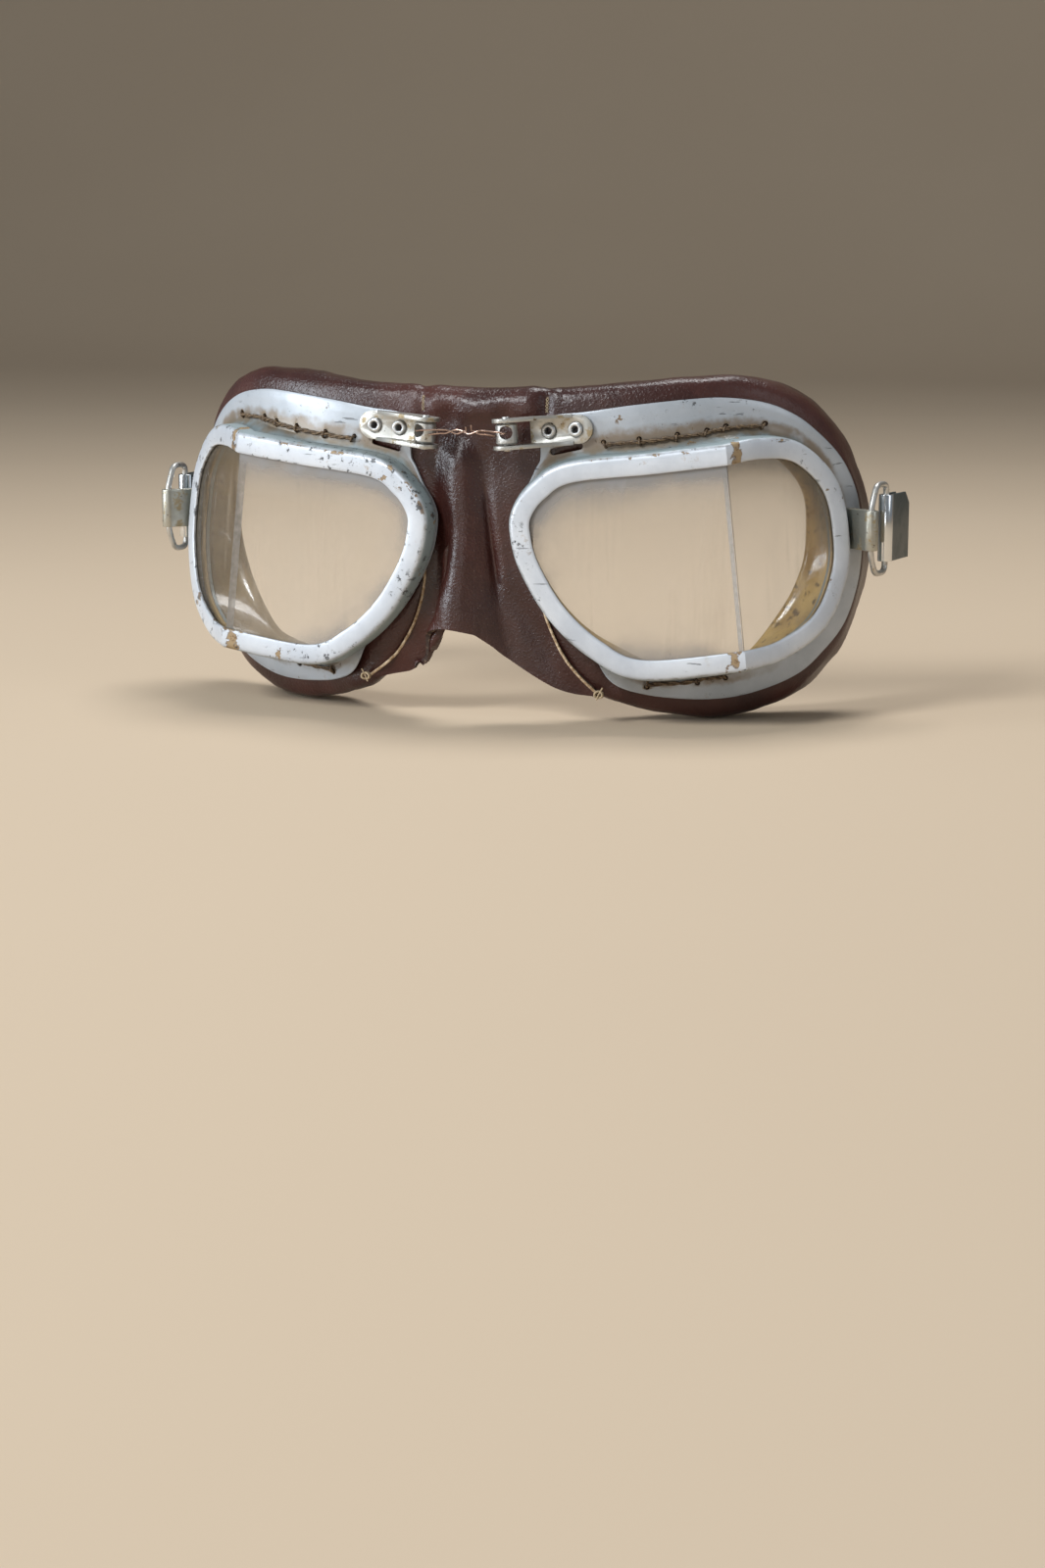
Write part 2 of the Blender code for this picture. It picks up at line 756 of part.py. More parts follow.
def add_lining(name, side):
    """The pale leather band inside the eye, from the collar back over the pad's inner wall."""
    rings = []
    for i in range(len(STATIONS)):
        depth = COLLAR_FRONT + PLATE_WALL + SEAT_GAP
        offset = COLLAR_OUTER - PLATE_WALL - SEAT_GAP
        foot = at_face(i, foot_offset(i) - PLATE_WALL, PLATE_WALL)
        away = outward_at(i)
        back_flat = front_view(foot) - away * 2 * SEAT_GAP
        knee = on_face(back_flat, PLATE_WALL + 2 * SEAT_GAP)
        back = on_face(back_flat, LINING_REACH * pad_depth_at(back_flat) / PAD_DEPTH)
        start = at(i, offset, depth)
        mid = at(i, offset, depth + PLATE_WALL + SEAT_GAP)
        outer = [start, mid, knee, back]
        inner = []
        for k, place in enumerate(outer):
            along = outer[min(k + 1, 3)] - outer[max(k - 1, 0)]
            run = Vector((along.x * away.x + along.z * away.y, along.y)).normalized()
            inward = Vector((-away.x * run.y, run.x, -away.y * run.y))
            inner.append(place + inward * LINING_THICKNESS)
        rings.append(outer + inner[::-1])
    return add_rings(name, "tan_lining", rings, side)


# Bridge hinge


def hinge_frame():
    """The bracket's own frame: its origin on the hinge axis, its X along the bracket."""
    tilt = Matrix.Rotation(-BRACKET_TILT, 4, "Y")
    return Matrix.Translation((HINGE_X, 0, 0)) @ tilt


EAR_R = BARREL_R + SEAT_GAP + BRACKET_WALL * 0.5


def web_y(x):
    """The web's back face in the hinge frame: it lies along the flange, a seat gap off it."""
    start = face_y(HINGE_X + RIVET_INNER_X + RIVET_PITCH / 2, 0) - 1.6 * SEAT_GAP
    return start + math.tan(BRACKET_YAW) * (x - RIVET_INNER_X - RIVET_PITCH / 2)


def add_bracket(name, side):
    """A pressed channel: a web on the flange, and an ear above and below the barrel."""
    frame = hinge_frame()
    low = -BRACKET_HEIGHT / 2 - BRACKET_DROP
    high = BRACKET_HEIGHT / 2 - BRACKET_DROP
    end_r = BRACKET_HEIGHT / 2
    tip = BRACKET_REACH - end_r
    outline = [Vector((BRACKET_WEB_START, 0, low + SHEET_BEND))]
    for p in circle(end_r - SHEET_BEND, 11, (tip, -BRACKET_DROP), -math.pi / 2, math.pi):
        outline.append(Vector((p.x, 0, p.y)))
    outline.append(Vector((BRACKET_WEB_START, 0, high - SHEET_BEND)))
    web_outline = [p + Vector((0, web_y(p.x) - BRACKET_WALL, 0)) for p in outline]
    web = add_prism(name, "nickel", web_outline, Vector((0, BRACKET_WALL, 0)), side, frame)
    front_y = web_y(BRACKET_EAR_REACH) - BRACKET_WALL * 0.5
    ear = [Vector((p.x, p.y, 0)) for p in circle(EAR_R, 9, (0, 0), math.radians(125), math.radians(150))]
    ear.append(Vector((BRACKET_EAR_REACH, front_y - BRACKET_WALL, 0)))
    ear.append(Vector((BRACKET_EAR_REACH, front_y, 0)))
    ear.append(Vector((BRACKET_WEB_START, web_y(BRACKET_WEB_START) - BRACKET_WALL * 0.4, 0)))
    for level in (low, high - BRACKET_WALL):
        outline = [p + Vector((0, 0, level)) for p in ear]
        plate = add_prism("ear", "nickel", outline, Vector((0, 0, BRACKET_WALL)), side, frame)
        join(web, plate)
    reach = Vector((0, 0, BRACKET_HEIGHT))
    centre = Vector((0, 0, -BRACKET_DROP))
    pin_hole = add_rod(
        "cutter", "nickel", frame @ (centre - reach), frame @ (centre + reach), PIVOT_R + SEAT_GAP, 16, side
    )
    cut(web, pin_hole)
    for place in rivet_places():
        start = frame @ Vector((place, web_y(place) - BRACKET_WALL - CUT_OVERRUN, -BRACKET_DROP))
        end = frame @ Vector((place, web_y(place) + CUT_OVERRUN, -BRACKET_DROP))
        cut(web, add_rod("cutter", "nickel", start, end, RIVET_SHANK_R + SEAT_GAP, 16, side))
    return web


def rivet_places():
    return (RIVET_INNER_X, RIVET_INNER_X + RIVET_PITCH)


def rivet_span(place):
    """Where a rivet's head starts and where its turned-over tail ends, along Y."""
    under_head = web_y(place) - BRACKET_WALL - SEAT_GAP
    return under_head - RIVET_HEAD_HEIGHT, under_head


def rivet_cutter(side, place, radius):
    """A rod along a rivet's line, from ahead of its head to just behind its tail."""
    frame = hinge_frame()
    start = frame @ Vector((place, rivet_span(place)[0] - CUT_OVERRUN, -BRACKET_DROP))
    end = frame @ Vector((place, rivet_tail_end(place) + SEAT_GAP, -BRACKET_DROP))
    return add_rod("cutter", "nickel", start, end, radius, 16, side)


def rivet_tail_end(place):
    return web_y(place) + 4 * SEAT_GAP + PLATE_WALL + RIVET_TAIL


def add_rivet(name, side, place):
    """A tubular rivet through the bracket's web and the flange behind it."""
    frame = hinge_frame()
    head, under_head = rivet_span(place)
    tail = rivet_tail_end(place)
    tail_start = tail - RIVET_TAIL
    profile = (
        (RIVET_BORE_R, head + RIVET_HEAD_HEIGHT * 0.5),
        (RIVET_BORE_R + RIVET_HEAD_HEIGHT * 0.6, head),
        (RIVET_HEAD_R - RIVET_HEAD_HEIGHT * 0.5, head),
        (RIVET_HEAD_R, head + RIVET_HEAD_HEIGHT * 0.5),
        (RIVET_HEAD_R, under_head),
        (RIVET_SHANK_R, under_head),
        (RIVET_SHANK_R, tail_start),
        (RIVET_HEAD_R, tail_start),
        (RIVET_HEAD_R, tail),
        (RIVET_BORE_R, tail),
    )
    sides = 12
    rings = []
    for k in range(sides):
        turn = math.tau * k / sides
        ring = []
        for radius, y in profile:
            x = place + radius * math.cos(turn)
            ring.append(frame @ Vector((x, y, radius * math.sin(turn) - BRACKET_DROP)))
        rings.append(ring)
    return add_rings(name, "nickel", rings, side)


def barrel_frame(side_name):
    turn = Matrix.Rotation(BARREL_TURNS[side_name] * SIDES[side_name], 4, "Z")
    return hinge_frame() @ turn


def add_barrel(name, side_name):
    """The drilled hinge barrel, with a pivot turned on each end."""
    side = SIDES[side_name]
    frame = hinge_frame()
    half = BRACKET_HEIGHT / 2 - BRACKET_WALL - SEAT_GAP
    pivot = BRACKET_HEIGHT / 2 + PIVOT_STAND
    profile = (
        (PIVOT_R, pivot),
        (PIVOT_R, half),
        (BARREL_R - PIVOT_STAND, half),
        (BARREL_R, half - PIVOT_STAND),
    )
    levels = list(profile) + [(r, -z) for r, z in reversed(profile)]
    rings = []
    for radius, z in levels:
        ring = [frame @ Vector((p.x, p.y, z - BRACKET_DROP)) for p in circle(radius, 20)]
        rings.append(ring)
    barrel = add_rings(name, "nickel", rings, side, closed=False)
    turned = barrel_frame(side_name)
    reach = Vector((0, BARREL_R + CUT_OVERRUN, 0))
    bore = add_rod("cutter", "nickel", turned @ -reach, turned @ reach, BARREL_HOLE_R, 16, side)
    cut(barrel, bore)
    return barrel


def wire_half(side_name):
    """The wire from the twist round one barrel's nose side, and back through its hole."""
    side = SIDES[side_name]
    frame = barrel_frame(side_name)
    round_r = BARREL_R + WIRE_R + SEAT_GAP
    twist_end = Vector((TWIST_HALF_LENGTH, TWIST_Y, 0))
    lift = Vector((0, 0, TWIST_R))
    route = [
        twist_end + lift + Vector((WIRE_R * 5, -WIRE_R, 0)),
        frame @ Vector((-BARREL_R, -round_r, TWIST_R)),
        frame @ Vector((-WIRE_R, -round_r - WIRE_R, 0)),
        frame @ Vector((0, -BARREL_R * 0.6, 0)),
        frame @ Vector((0, BARREL_R * 0.6, 0)),
        frame @ Vector((-WIRE_R * 2, round_r + WIRE_R, -WIRE_R)),
    ]
    for degrees in (115, 145, 175, 205):
        turn = math.radians(degrees)
        route.append(frame @ Vector((round_r * math.cos(turn), round_r * math.sin(turn), -WIRE_R * 3)))
    route.append(twist_end - lift + Vector((WIRE_R * 5, -WIRE_R, 0)))
    places = spline(route, [3] * (len(route) - 1))
    return [mirrored(p, side) for p in places[::-1]]


def twist_strand(start_x, end_x, phase):
    """One strand of the twist, wound round the middle line."""
    steps = max(8, round(24 * abs(end_x - start_x) / (2 * TWIST_HALF_LENGTH)))
    found = []
    for k in range(steps + 1):
        x = start_x + (end_x - start_x) * k / steps
        turn = math.pi * TWIST_TURNS * (x / TWIST_HALF_LENGTH - 1) / 2 + phase
        found.append(Vector((x, TWIST_Y + TWIST_R * math.sin(turn), TWIST_R * math.cos(turn))))
    return found


def wire_route():
    """One unbroken wire: a loop through each barrel, with both its ends turned up at the twist."""
    half = TWIST_HALF_LENGTH
    parting = half / TWIST_TURNS
    first = twist_strand(parting + WIRE_PARTING, half, math.pi)
    middle = twist_strand(half, -half, 0)
    last = twist_strand(-half, parting - WIRE_PARTING, math.pi)
    up = Vector((0, -TWIST_R, WIRE_TAIL))
    first_tail = [first[0] + up * 0.9, first[0] + up * 0.45]
    last_tail = [last[-1] + up * 0.35, last[-1] + up * 0.6]
    route = first_tail + first + wire_half("left") + middle + wire_half("right")
    return route + last + last_tail


def least_gap(points, radius):
    """The least clear distance from the wire to itself, leaving out what lies next along it."""
    apart = 8 * radius
    ways = [0.0]
    for a, b in zip(points, points[1:]):
        ways.append(ways[-1] + (b - a).length)
    return min(
        (points[i] - points[j]).length - 2 * radius
        for i in range(len(points))
        for j in range(i)
        if ways[i] - ways[j] > apart
    )


def add_bridge_wire(name):
    route = wire_route()
    print(f"{name}: least gap to itself {least_gap(route, WIRE_R) / WIRE_R:.2f} wire radii")
    return add_tube(name, "copper", route, WIRE_R, 6, 1)


# Strap lug, loop and clasp


def strip(path, thickness):
    """The outline of a bent strip of sheet along a path in plan."""
    left, right = [], []
    for index, place in enumerate(path):
        before = path[max(index - 1, 0)]
        after = path[min(index + 1, len(path) - 1)]
        along = (after - before).normalized()
        across = Vector((-along.y, along.x)) * (thickness / 2)
        left.append(place + across)
        right.append(place - across)
    return left + right[::-1]


def lug_foot(z):
    """Where the leaves end on the flange at that height, just outside the collar's foot."""
    line = [
        at_face(i, COLLAR_FOOT + LUG_WALL, -SEAT_GAP - LUG_WALL / 2)
        for i, station in enumerate(STATIONS)
        if station[0] == "side"
    ]
    for a, b in zip(line, line[1:]):
        if a.z <= z <= b.z:
            return a + (b - a) * ((z - a.z) / (b.z - a.z))
    return line[len(line) // 2]


def add_lug(name, side):
    """A strip of sheet rolled round the loop's wire, its two leaves brought back to the rim."""
    knuckle = Vector((KNUCKLE_X, KNUCKLE_Y))
    middle_r = LOOP_WIRE_R + LOOP_CLEARANCE + LUG_WALL / 2
    foot = lug_foot(KNUCKLE_Z + KNUCKLE_HEIGHT / 4)
    back = Vector((foot.x, foot.y))
    front = back - Vector((0, LUG_WALL + 2 * SEAT_GAP))
    inward = (front - knuckle).normalized()
    start = math.atan2(inward.y, inward.x)
    gap = math.radians(60.0)
    arc = circle(middle_r, 17, (knuckle.x, knuckle.y), start + gap, math.tau - 2 * gap)
    path = [front] + arc + [back]
    outline = [Vector((p.x, p.y, KNUCKLE_Z - KNUCKLE_HEIGHT / 2)) for p in strip(path, LUG_WALL)]
    return add_prism(name, "worn_brass", outline, Vector((0, 0, KNUCKLE_HEIGHT)), side)


def loop_outline():
    """The loop in its own plane: a short bar in the knuckle and a long bar for the clasp."""
    short = KNUCKLE_HEIGHT / 2 + LOOP_BEND_R * 0.4
    tall = LOOP_HEIGHT / 2
    bend = LOOP_BEND_R
    corners = [
        Vector((0, -short)),
        Vector((0, short)),
        Vector((bend * 1.2, tall)),
        Vector((LOOP_REACH, tall)),
        Vector((LOOP_REACH, -tall)),
        Vector((bend * 1.2, -tall)),
    ]
    found = []
    radii = (bend * 0.45, bend * 0.45, bend * 0.8, bend, bend, bend * 0.8)
    for index, corner in enumerate(corners):
        before = (corners[index - 1] - corner).normalized()
        after = (corners[(index + 1) % len(corners)] - corner).normalized()
        start = corner + before * radii[index]
        end = corner + after * radii[index]
        for k in range(4):
            t = k / 3
            found.append(start * (1 - t) ** 2 + corner * 2 * t * (1 - t) + end * t**2)
    return found


def loop_direction(side_name):
    angle = LOOP_ANGLES[side_name]
    return Vector((math.cos(angle), math.sin(angle), 0))


def add_loop(name, side_name):
    axis = Vector((KNUCKLE_X, KNUCKLE_Y, KNUCKLE_Z))
    along = loop_direction(side_name)
    points = [axis + along * p.x + Vector((0, 0, p.y)) for p in loop_outline()]
    return add_tube(name, "nickel", points, LOOP_WIRE_R, 8, SIDES[side_name], closed=True)


def clasp_axis(side_name):
    return Vector((KNUCKLE_X, KNUCKLE_Y, KNUCKLE_Z)) + loop_direction(side_name) * LOOP_REACH


def add_clasp(name, side_name):
    """A chromed plate folded round the loop's long bar, which grips the strap's end."""
    side = SIDES[side_name]
    angle = CLASP_ANGLES[side_name]
    centre = clasp_axis(side_name)
    middle_r = LOOP_WIRE_R + LOOP_CLEARANCE + CLASP_WALL / 2
    pivot = Vector((centre.x, centre.y))
    back = Vector((math.cos(angle), math.sin(angle)))
    across = Vector((back.y, -back.x))
    grip = across * (CLASP_GRIP + CLASP_WALL) / 2
    arc = circle(middle_r, 15, (pivot.x, pivot.y), angle + math.radians(55), math.radians(250))
    path = [pivot - grip + back * CLASP_SHORT_LEAF] + arc + [pivot + grip + back * CLASP_LENGTH]
    half = CLASP_HEIGHT / 2
    outline = [Vector((p.x, p.y, centre.z - half)) for p in strip(path, CLASP_WALL)]
    plate = add_prism(name, "chrome", outline, Vector((0, 0, CLASP_HEIGHT)), side)
    # The plate's upper rear corner is cut off at a slant.
    corner = centre + Vector((back.x, back.y, 0)) * CLASP_LENGTH + Vector((0, 0, half))
    reach = CLASP_CHAMFER + CUT_OVERRUN
    rear = Vector((back.x, back.y, 0))
    wide = Vector((across.x, across.y, 0)) * (CLASP_GRIP + 2 * CLASP_WALL + CUT_OVERRUN)
    wedge = [
        corner - rear * reach + Vector((0, 0, CUT_OVERRUN)) - wide,
        corner + rear * CUT_OVERRUN + Vector((0, 0, CUT_OVERRUN)) - wide,
        corner + rear * CUT_OVERRUN - Vector((0, 0, reach)) - wide,
    ]
    cut(plate, add_prism("cutter", "chrome", wedge, wide * 2, side))
    return plate


# Nose bridge


def nose_edge():
    """The nose bridge's free edge beside the pad, from the brow down to the cheek."""
    shares = (
        (0.15, 0.06),
        (0.124, 0.02),
        (0.094, -0.05),
        (0.09, -0.16),
        (0.092, -0.30),
        (0.109, -0.42),
        (0.141, -0.53),
        (0.187, -0.615),
        (0.245, -0.695),
        (0.305, -0.755),
    )
    corners = [Vector((u * EYE_WIDTH, v * PAD_HEIGHT)) for u, v in shares]
    return spline(corners, [1] * (len(corners) - 1))


def add_nose_bridge(name):
    """A leather skin: a rolled brow above, a ridge over the nose and an arch below."""
    edge = nose_edge()
    rows = len(edge)
    columns = 6
    grid = []
    for number, corner in enumerate(edge):
        share = number / (rows - 1)
        middle_z = edge[0].y + (-NOSE_ARCH_SHARE * PAD_HEIGHT - edge[0].y) * share
        ridge_y = NOSE_RIDGE_Y
        side_y = face_y(corner.x, corner.y) + PLATE_WALL + NOSE_SKIN + SEAT_GAP
        row = []
        for column in range(-columns, columns + 1):
            across = column / columns
            z = middle_z + (corner.y - middle_z) * abs(across) ** 1.5
            y = ridge_y + (side_y - ridge_y) * abs(across) ** 1.7
            row.append(Vector((corner.x * across, y, z)))
        grid.append(row)
    rolled = []
    for degrees in (150, 110, 75, 40, 10):
        turn = math.radians(degrees)
        row = []
        for point in grid[0]:
            back = BROW_ROLL_R * (1 - math.cos(math.pi - turn))
            up = BROW_ROLL_R * math.sin(math.pi - turn)
            row.append(point + Vector((0, back, up * 0.8)))
        rolled.append(row)
    grid = rolled[::-1] + grid
    vertices = [p for row in grid for p in row]
    width = 2 * columns + 1
    faces = []
    for r in range(len(grid) - 1):
        for c in range(width - 1):
            first = r * width + c
            faces.append((first, first + 1, first + width + 1, first + width))
    mesh = bpy.data.meshes.new(name)
    mesh.from_pydata([tuple(v) for v in vertices], [], faces)
    mesh.shade_smooth()
    skin = add_object(name, mesh, "brown_leather")
    wall = skin.modifiers.new("skin", "SOLIDIFY")
    wall.thickness = NOSE_SKIN
    wall.offset = -1
    return skin


for side_name, side in SIDES.items():
    add_frame_plate(f"frame_plate_{side_name}", side)
    add_lens_rim(f"lens_rim_{side_name}", side)
    add_pane(f"front_lens_{side_name}", side, "front")
    add_pane(f"side_lens_{side_name}", side, "side")
    add_lens_seal(f"lens_seal_{side_name}", side)
    add_face_pad(f"face_pad_{side_name}", side)
    add_lining(f"eye_lining_{side_name}", side)
    add_lace(f"top_lacing_{side_name}", side, TOP_LACE_SHARES)
    add_lace(f"bottom_lacing_{side_name}", side, BOTTOM_LACE_SHARES)
    add_bracket(f"bridge_bracket_{side_name}", side)
    add_rivet(f"inner_bracket_rivet_{side_name}", side, rivet_places()[0])
    add_rivet(f"outer_bracket_rivet_{side_name}", side, rivet_places()[1])
    add_barrel(f"hinge_barrel_{side_name}", side_name)
    add_lug(f"strap_lug_{side_name}", side)
    add_loop(f"strap_loop_{side_name}", side_name)
    add_clasp(f"strap_clasp_{side_name}", side_name)
add_bridge_wire("bridge_wire")
add_nose_bridge("nose_bridge")
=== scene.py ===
import math
from contextlib import contextmanager

import bpy
from mathutils import Matrix, Vector, noise


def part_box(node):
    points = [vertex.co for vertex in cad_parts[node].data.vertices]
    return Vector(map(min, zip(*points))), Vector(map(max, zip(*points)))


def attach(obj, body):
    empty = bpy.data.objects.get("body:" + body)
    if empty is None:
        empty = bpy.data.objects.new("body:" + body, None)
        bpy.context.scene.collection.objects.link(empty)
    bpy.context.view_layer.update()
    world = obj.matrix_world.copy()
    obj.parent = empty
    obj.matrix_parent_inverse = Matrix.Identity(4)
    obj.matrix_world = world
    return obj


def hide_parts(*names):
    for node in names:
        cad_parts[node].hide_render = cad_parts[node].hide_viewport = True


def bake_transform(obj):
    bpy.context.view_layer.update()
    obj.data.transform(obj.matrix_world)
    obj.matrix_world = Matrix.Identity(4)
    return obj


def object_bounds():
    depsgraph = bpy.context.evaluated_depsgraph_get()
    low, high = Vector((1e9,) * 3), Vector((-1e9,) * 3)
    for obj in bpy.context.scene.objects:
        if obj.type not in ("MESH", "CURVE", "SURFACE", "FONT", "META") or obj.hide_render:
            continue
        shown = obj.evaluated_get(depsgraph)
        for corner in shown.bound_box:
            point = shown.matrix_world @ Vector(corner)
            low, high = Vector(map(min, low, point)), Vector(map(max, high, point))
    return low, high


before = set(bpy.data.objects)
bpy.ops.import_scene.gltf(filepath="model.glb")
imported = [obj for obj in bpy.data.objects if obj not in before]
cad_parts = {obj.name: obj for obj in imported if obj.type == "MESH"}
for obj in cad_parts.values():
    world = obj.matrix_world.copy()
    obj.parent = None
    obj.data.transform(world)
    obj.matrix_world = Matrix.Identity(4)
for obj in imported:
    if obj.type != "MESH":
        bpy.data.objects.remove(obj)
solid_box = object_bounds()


# Camera: a long lens a little above the eyes, 17 degrees round to the wearer's left.

camera = bpy.data.objects.new("camera", bpy.data.cameras.new("camera"))
bpy.context.scene.collection.objects.link(camera)
camera_turn, camera_lift, camera_roll = (math.radians(d) for d in (17.474, 10.5, 0.175))
camera.matrix_world = (
    Matrix.Translation((0.22366, -0.66475, 0.04492)) @ Matrix.Rotation(camera_turn, 4, "Z")
    @ Matrix.Rotation(math.pi / 2 - camera_lift, 4, "X") @ Matrix.Rotation(camera_roll, 4, "Z")
)
camera.data.lens = 67.5
camera.data.sensor_width = 36
camera.data.sensor_fit = "AUTO"
camera.data.clip_start = 0.01
bpy.context.scene.camera = camera


# Light: a cool window high on the left, weaker softboxes in front, at the left and at the right, and
# one above and behind that draws the sheen along the brow.


def add_softbox(name, place, size, power, colour):
    bpy.ops.object.light_add(type="AREA", location=place)
    box = bpy.context.object
    box.name = name
    box.data.shape = "DISK"
    box.data.size = size
    box.data.energy = power
    box.data.color = colour
    aim = Vector((0, 0.02, -0.03)) - Vector(place)
    box.rotation_euler = aim.to_track_quat("-Z", "Y").to_euler()


add_softbox("window", (-0.5, -1.15, 0.85), 0.45, 15, (0.94, 0.975, 1.0))
add_softbox("front_fill", (0.05, -1.7, -0.2), 0.7, 5, (0.96, 0.98, 1.0))
add_softbox("left_strip", (-1.2, -0.75, 0.15), 0.6, 12.0, (0.84, 0.92, 1.0))
add_softbox("right_fill", (1.15, -0.45, 0.35), 0.5, 1.2, (0.86, 0.92, 1.0))
add_softbox("overhead", (0.05, 0.3, 0.9), 0.5, 5.5, (0.98, 0.99, 1.0))
world = bpy.data.worlds.new("studio")
bpy.context.scene.world = world
world.use_nodes = True
background = world.node_tree.nodes["Background"].inputs
background["Color"].default_value = (0.70, 0.76, 0.82, 1)
background["Strength"].default_value = 0.26
view = bpy.context.scene.view_settings
view.view_transform, view.look = "Standard", "None"


# Floor: a plain pale sheet that sweeps up behind, on which the goggles stand upright.


class Signal:
    """A shader socket that takes part in sums, so that 1 - mask works."""

    def __init__(self, finish, socket):
        self.finish, self.socket = finish, socket

    def sum(self, operation, *values):
        return self.finish.node("Math", {"operation": operation}, values)

    def __add__(self, other):
        return self.sum("ADD", self, other)

    def __sub__(self, other):
        return self.sum("SUBTRACT", self, other)

    def __rsub__(self, other):
        return self.sum("SUBTRACT", other, self)

    def __mul__(self, other):
        return self.sum("MULTIPLY", self, other)

    __radd__ = __add__
    __rmul__ = __mul__

    def size(self):
        return self.sum("ABSOLUTE", self)

    def or_less(self, other):
        return self.sum("MINIMUM", self, other)

    def or_more(self, other):
        return self.sum("MAXIMUM", self, other)

    def rise(self, low, high):
        """0 up to low and 1 from high, with a smooth rise between."""
        settings = {"interpolation_type": "SMOOTHSTEP"}
        return self.finish.node("MapRange", settings, {0: self, 1: low, 2: high})

    def fall(self, low, high):
        """1 up to low and 0 from high."""
        return 1 - self.rise(low, high)


class Finish:
    """A material on the principled shader, worked out from the place on the piece."""

    def __init__(self, name, shift=(0, 0, 0)):
        self.material = bpy.data.materials.new(name)
        self.material.use_nodes = True
        self.tree = self.material.node_tree
        self.shader = self.tree.nodes["Principled BSDF"]
        self.spot = self.node("TexCoord", output="Object")
        self.moved = self.node("VectorMath", {"operation": "ADD"}, (self.spot, shift))

    def feed(self, socket, value):
        if isinstance(value, Signal):
            self.tree.links.new(value.socket, socket)
        else:
            socket.default_value = value

    def node(self, kind, settings=None, values=(), output=0):
        made = self.tree.nodes.new("ShaderNode" + kind)
        for name, value in (settings or {}).items():
            setattr(made, name, value)
        for key, value in values.items() if isinstance(values, dict) else enumerate(values):
            self.feed(made.inputs[key], value)
        return Signal(self, made.outputs[output])

    def mark(self, name):
        """A value that the mesh carries at its vertices."""
        return self.node("Attribute", {"attribute_name": name}, output="Fac")

    def along(self, direction):
        """How far the spot lies along a direction, in metres."""
        values = (self.spot, tuple(direction))
        return self.node("VectorMath", {"operation": "DOT_PRODUCT"}, values, "Value")

    def height(self):
        return self.along((0, 0, 1))

    def stretched(self, by, turn=(0, 0, 0)):
        return self.node("Mapping", {}, {"Vector": self.moved, "Scale": by, "Rotation": turn})

    def grain(self, scale, detail=3.0, at=None, rough=0.55, warp=0.0):
        values = {"Vector": at or self.moved, "Scale": scale, "Detail": detail}
        return self.node("TexNoise", {}, {**values, "Roughness": rough, "Distortion": warp})

    def pebble(self, scale, at=None, feature="F1"):
        values = {"Vector": at or self.moved, "Scale": scale}
        return self.node("TexVoronoi", {"feature": feature}, values)

    def warped(self, by, scale):
        """The place on the piece, shaken by a fine noise so that cells lose their straight sides."""
        shake = self.node("TexNoise", {}, {"Vector": self.moved, "Scale": scale}, "Color")
        values = (shake, (by, by, by), self.moved)
        return self.node("VectorMath", {"operation": "MULTIPLY_ADD"}, values)

    def mix(self, share, first, second):
        first, second = ((*c, 1) if isinstance(c, tuple) else c for c in (first, second))
        return self.node("Mix", {"data_type": "RGBA"}, {0: share, 6: first, 7: second}, 2)

    def layered(self, colour, *coats):
        """A colour with others laid over it, each by its own mask."""
        for mask, coat in coats:
            colour = self.mix(mask, colour, coat)
        return colour

    def relief(self, height, depth):
        """Fine relief from a height between 0 and 1, that deep in metres."""
        values = {"Strength": 1.0, "Distance": depth, "Height": height}
        self.set(Normal=self.node("Bump", {}, values))

    def set(self, **sockets):
        for name, value in sockets.items():
            self.feed(self.shader.inputs[name.replace("_", " ")], value)


def two_toned(name, scale, detail, tones, rough, depth=0.0, between=None, stretch=None):
    """A dull finish in two tones of one grain, which also gives its relief."""
    finish = Finish(name)
    nap = finish.grain(scale, detail, stretch and finish.stretched(stretch))
    share = nap.rise(*between) if between else nap
    finish.set(Base_Color=finish.mix(share, *tones), Roughness=rough)
    if depth:
        finish.relief(nap, depth)
    return finish.material


def coat(piece, *materials):
    piece.data.materials.clear()
    for material in materials:
        piece.data.materials.append(material)


def named(name, *materials):
    """The object just added, with its name and its finishes."""
    piece = bpy.context.object
    piece.name = piece.data.name = name
    coat(piece, *materials)
    return piece


def pick(*pieces):
    """Selects these pieces alone and makes the first one active."""
    bpy.ops.object.select_all(action="DESELECT")
    for piece in pieces:
        piece.select_set(True)
    bpy.context.view_layer.objects.active = pieces[0]


@contextmanager
def editing(piece, chosen=None):
    """Edit mode, with all of the piece selected or only the vertices that are chosen."""
    pick(piece)
    bpy.ops.object.mode_set(mode="EDIT")
    bpy.ops.mesh.select_all(action="DESELECT" if chosen else "SELECT")
    if chosen:
        bpy.ops.object.mode_set(mode="OBJECT")
        piece.data.vertices.foreach_set("select", chosen)
        bpy.ops.object.mode_set(mode="EDIT")
        bpy.ops.mesh.select_mode(type="VERT")
    yield
    bpy.ops.object.mode_set(mode="OBJECT")


def apply_all(piece):
    pick(piece)
    for modifier in list(piece.modifiers):
        bpy.ops.object.modifier_apply(modifier=modifier.name)


def smooth(angle):
    """Shades the active piece smooth, but for edges sharper than that many degrees."""
    bpy.ops.object.shade_smooth_by_angle(angle=math.radians(angle))


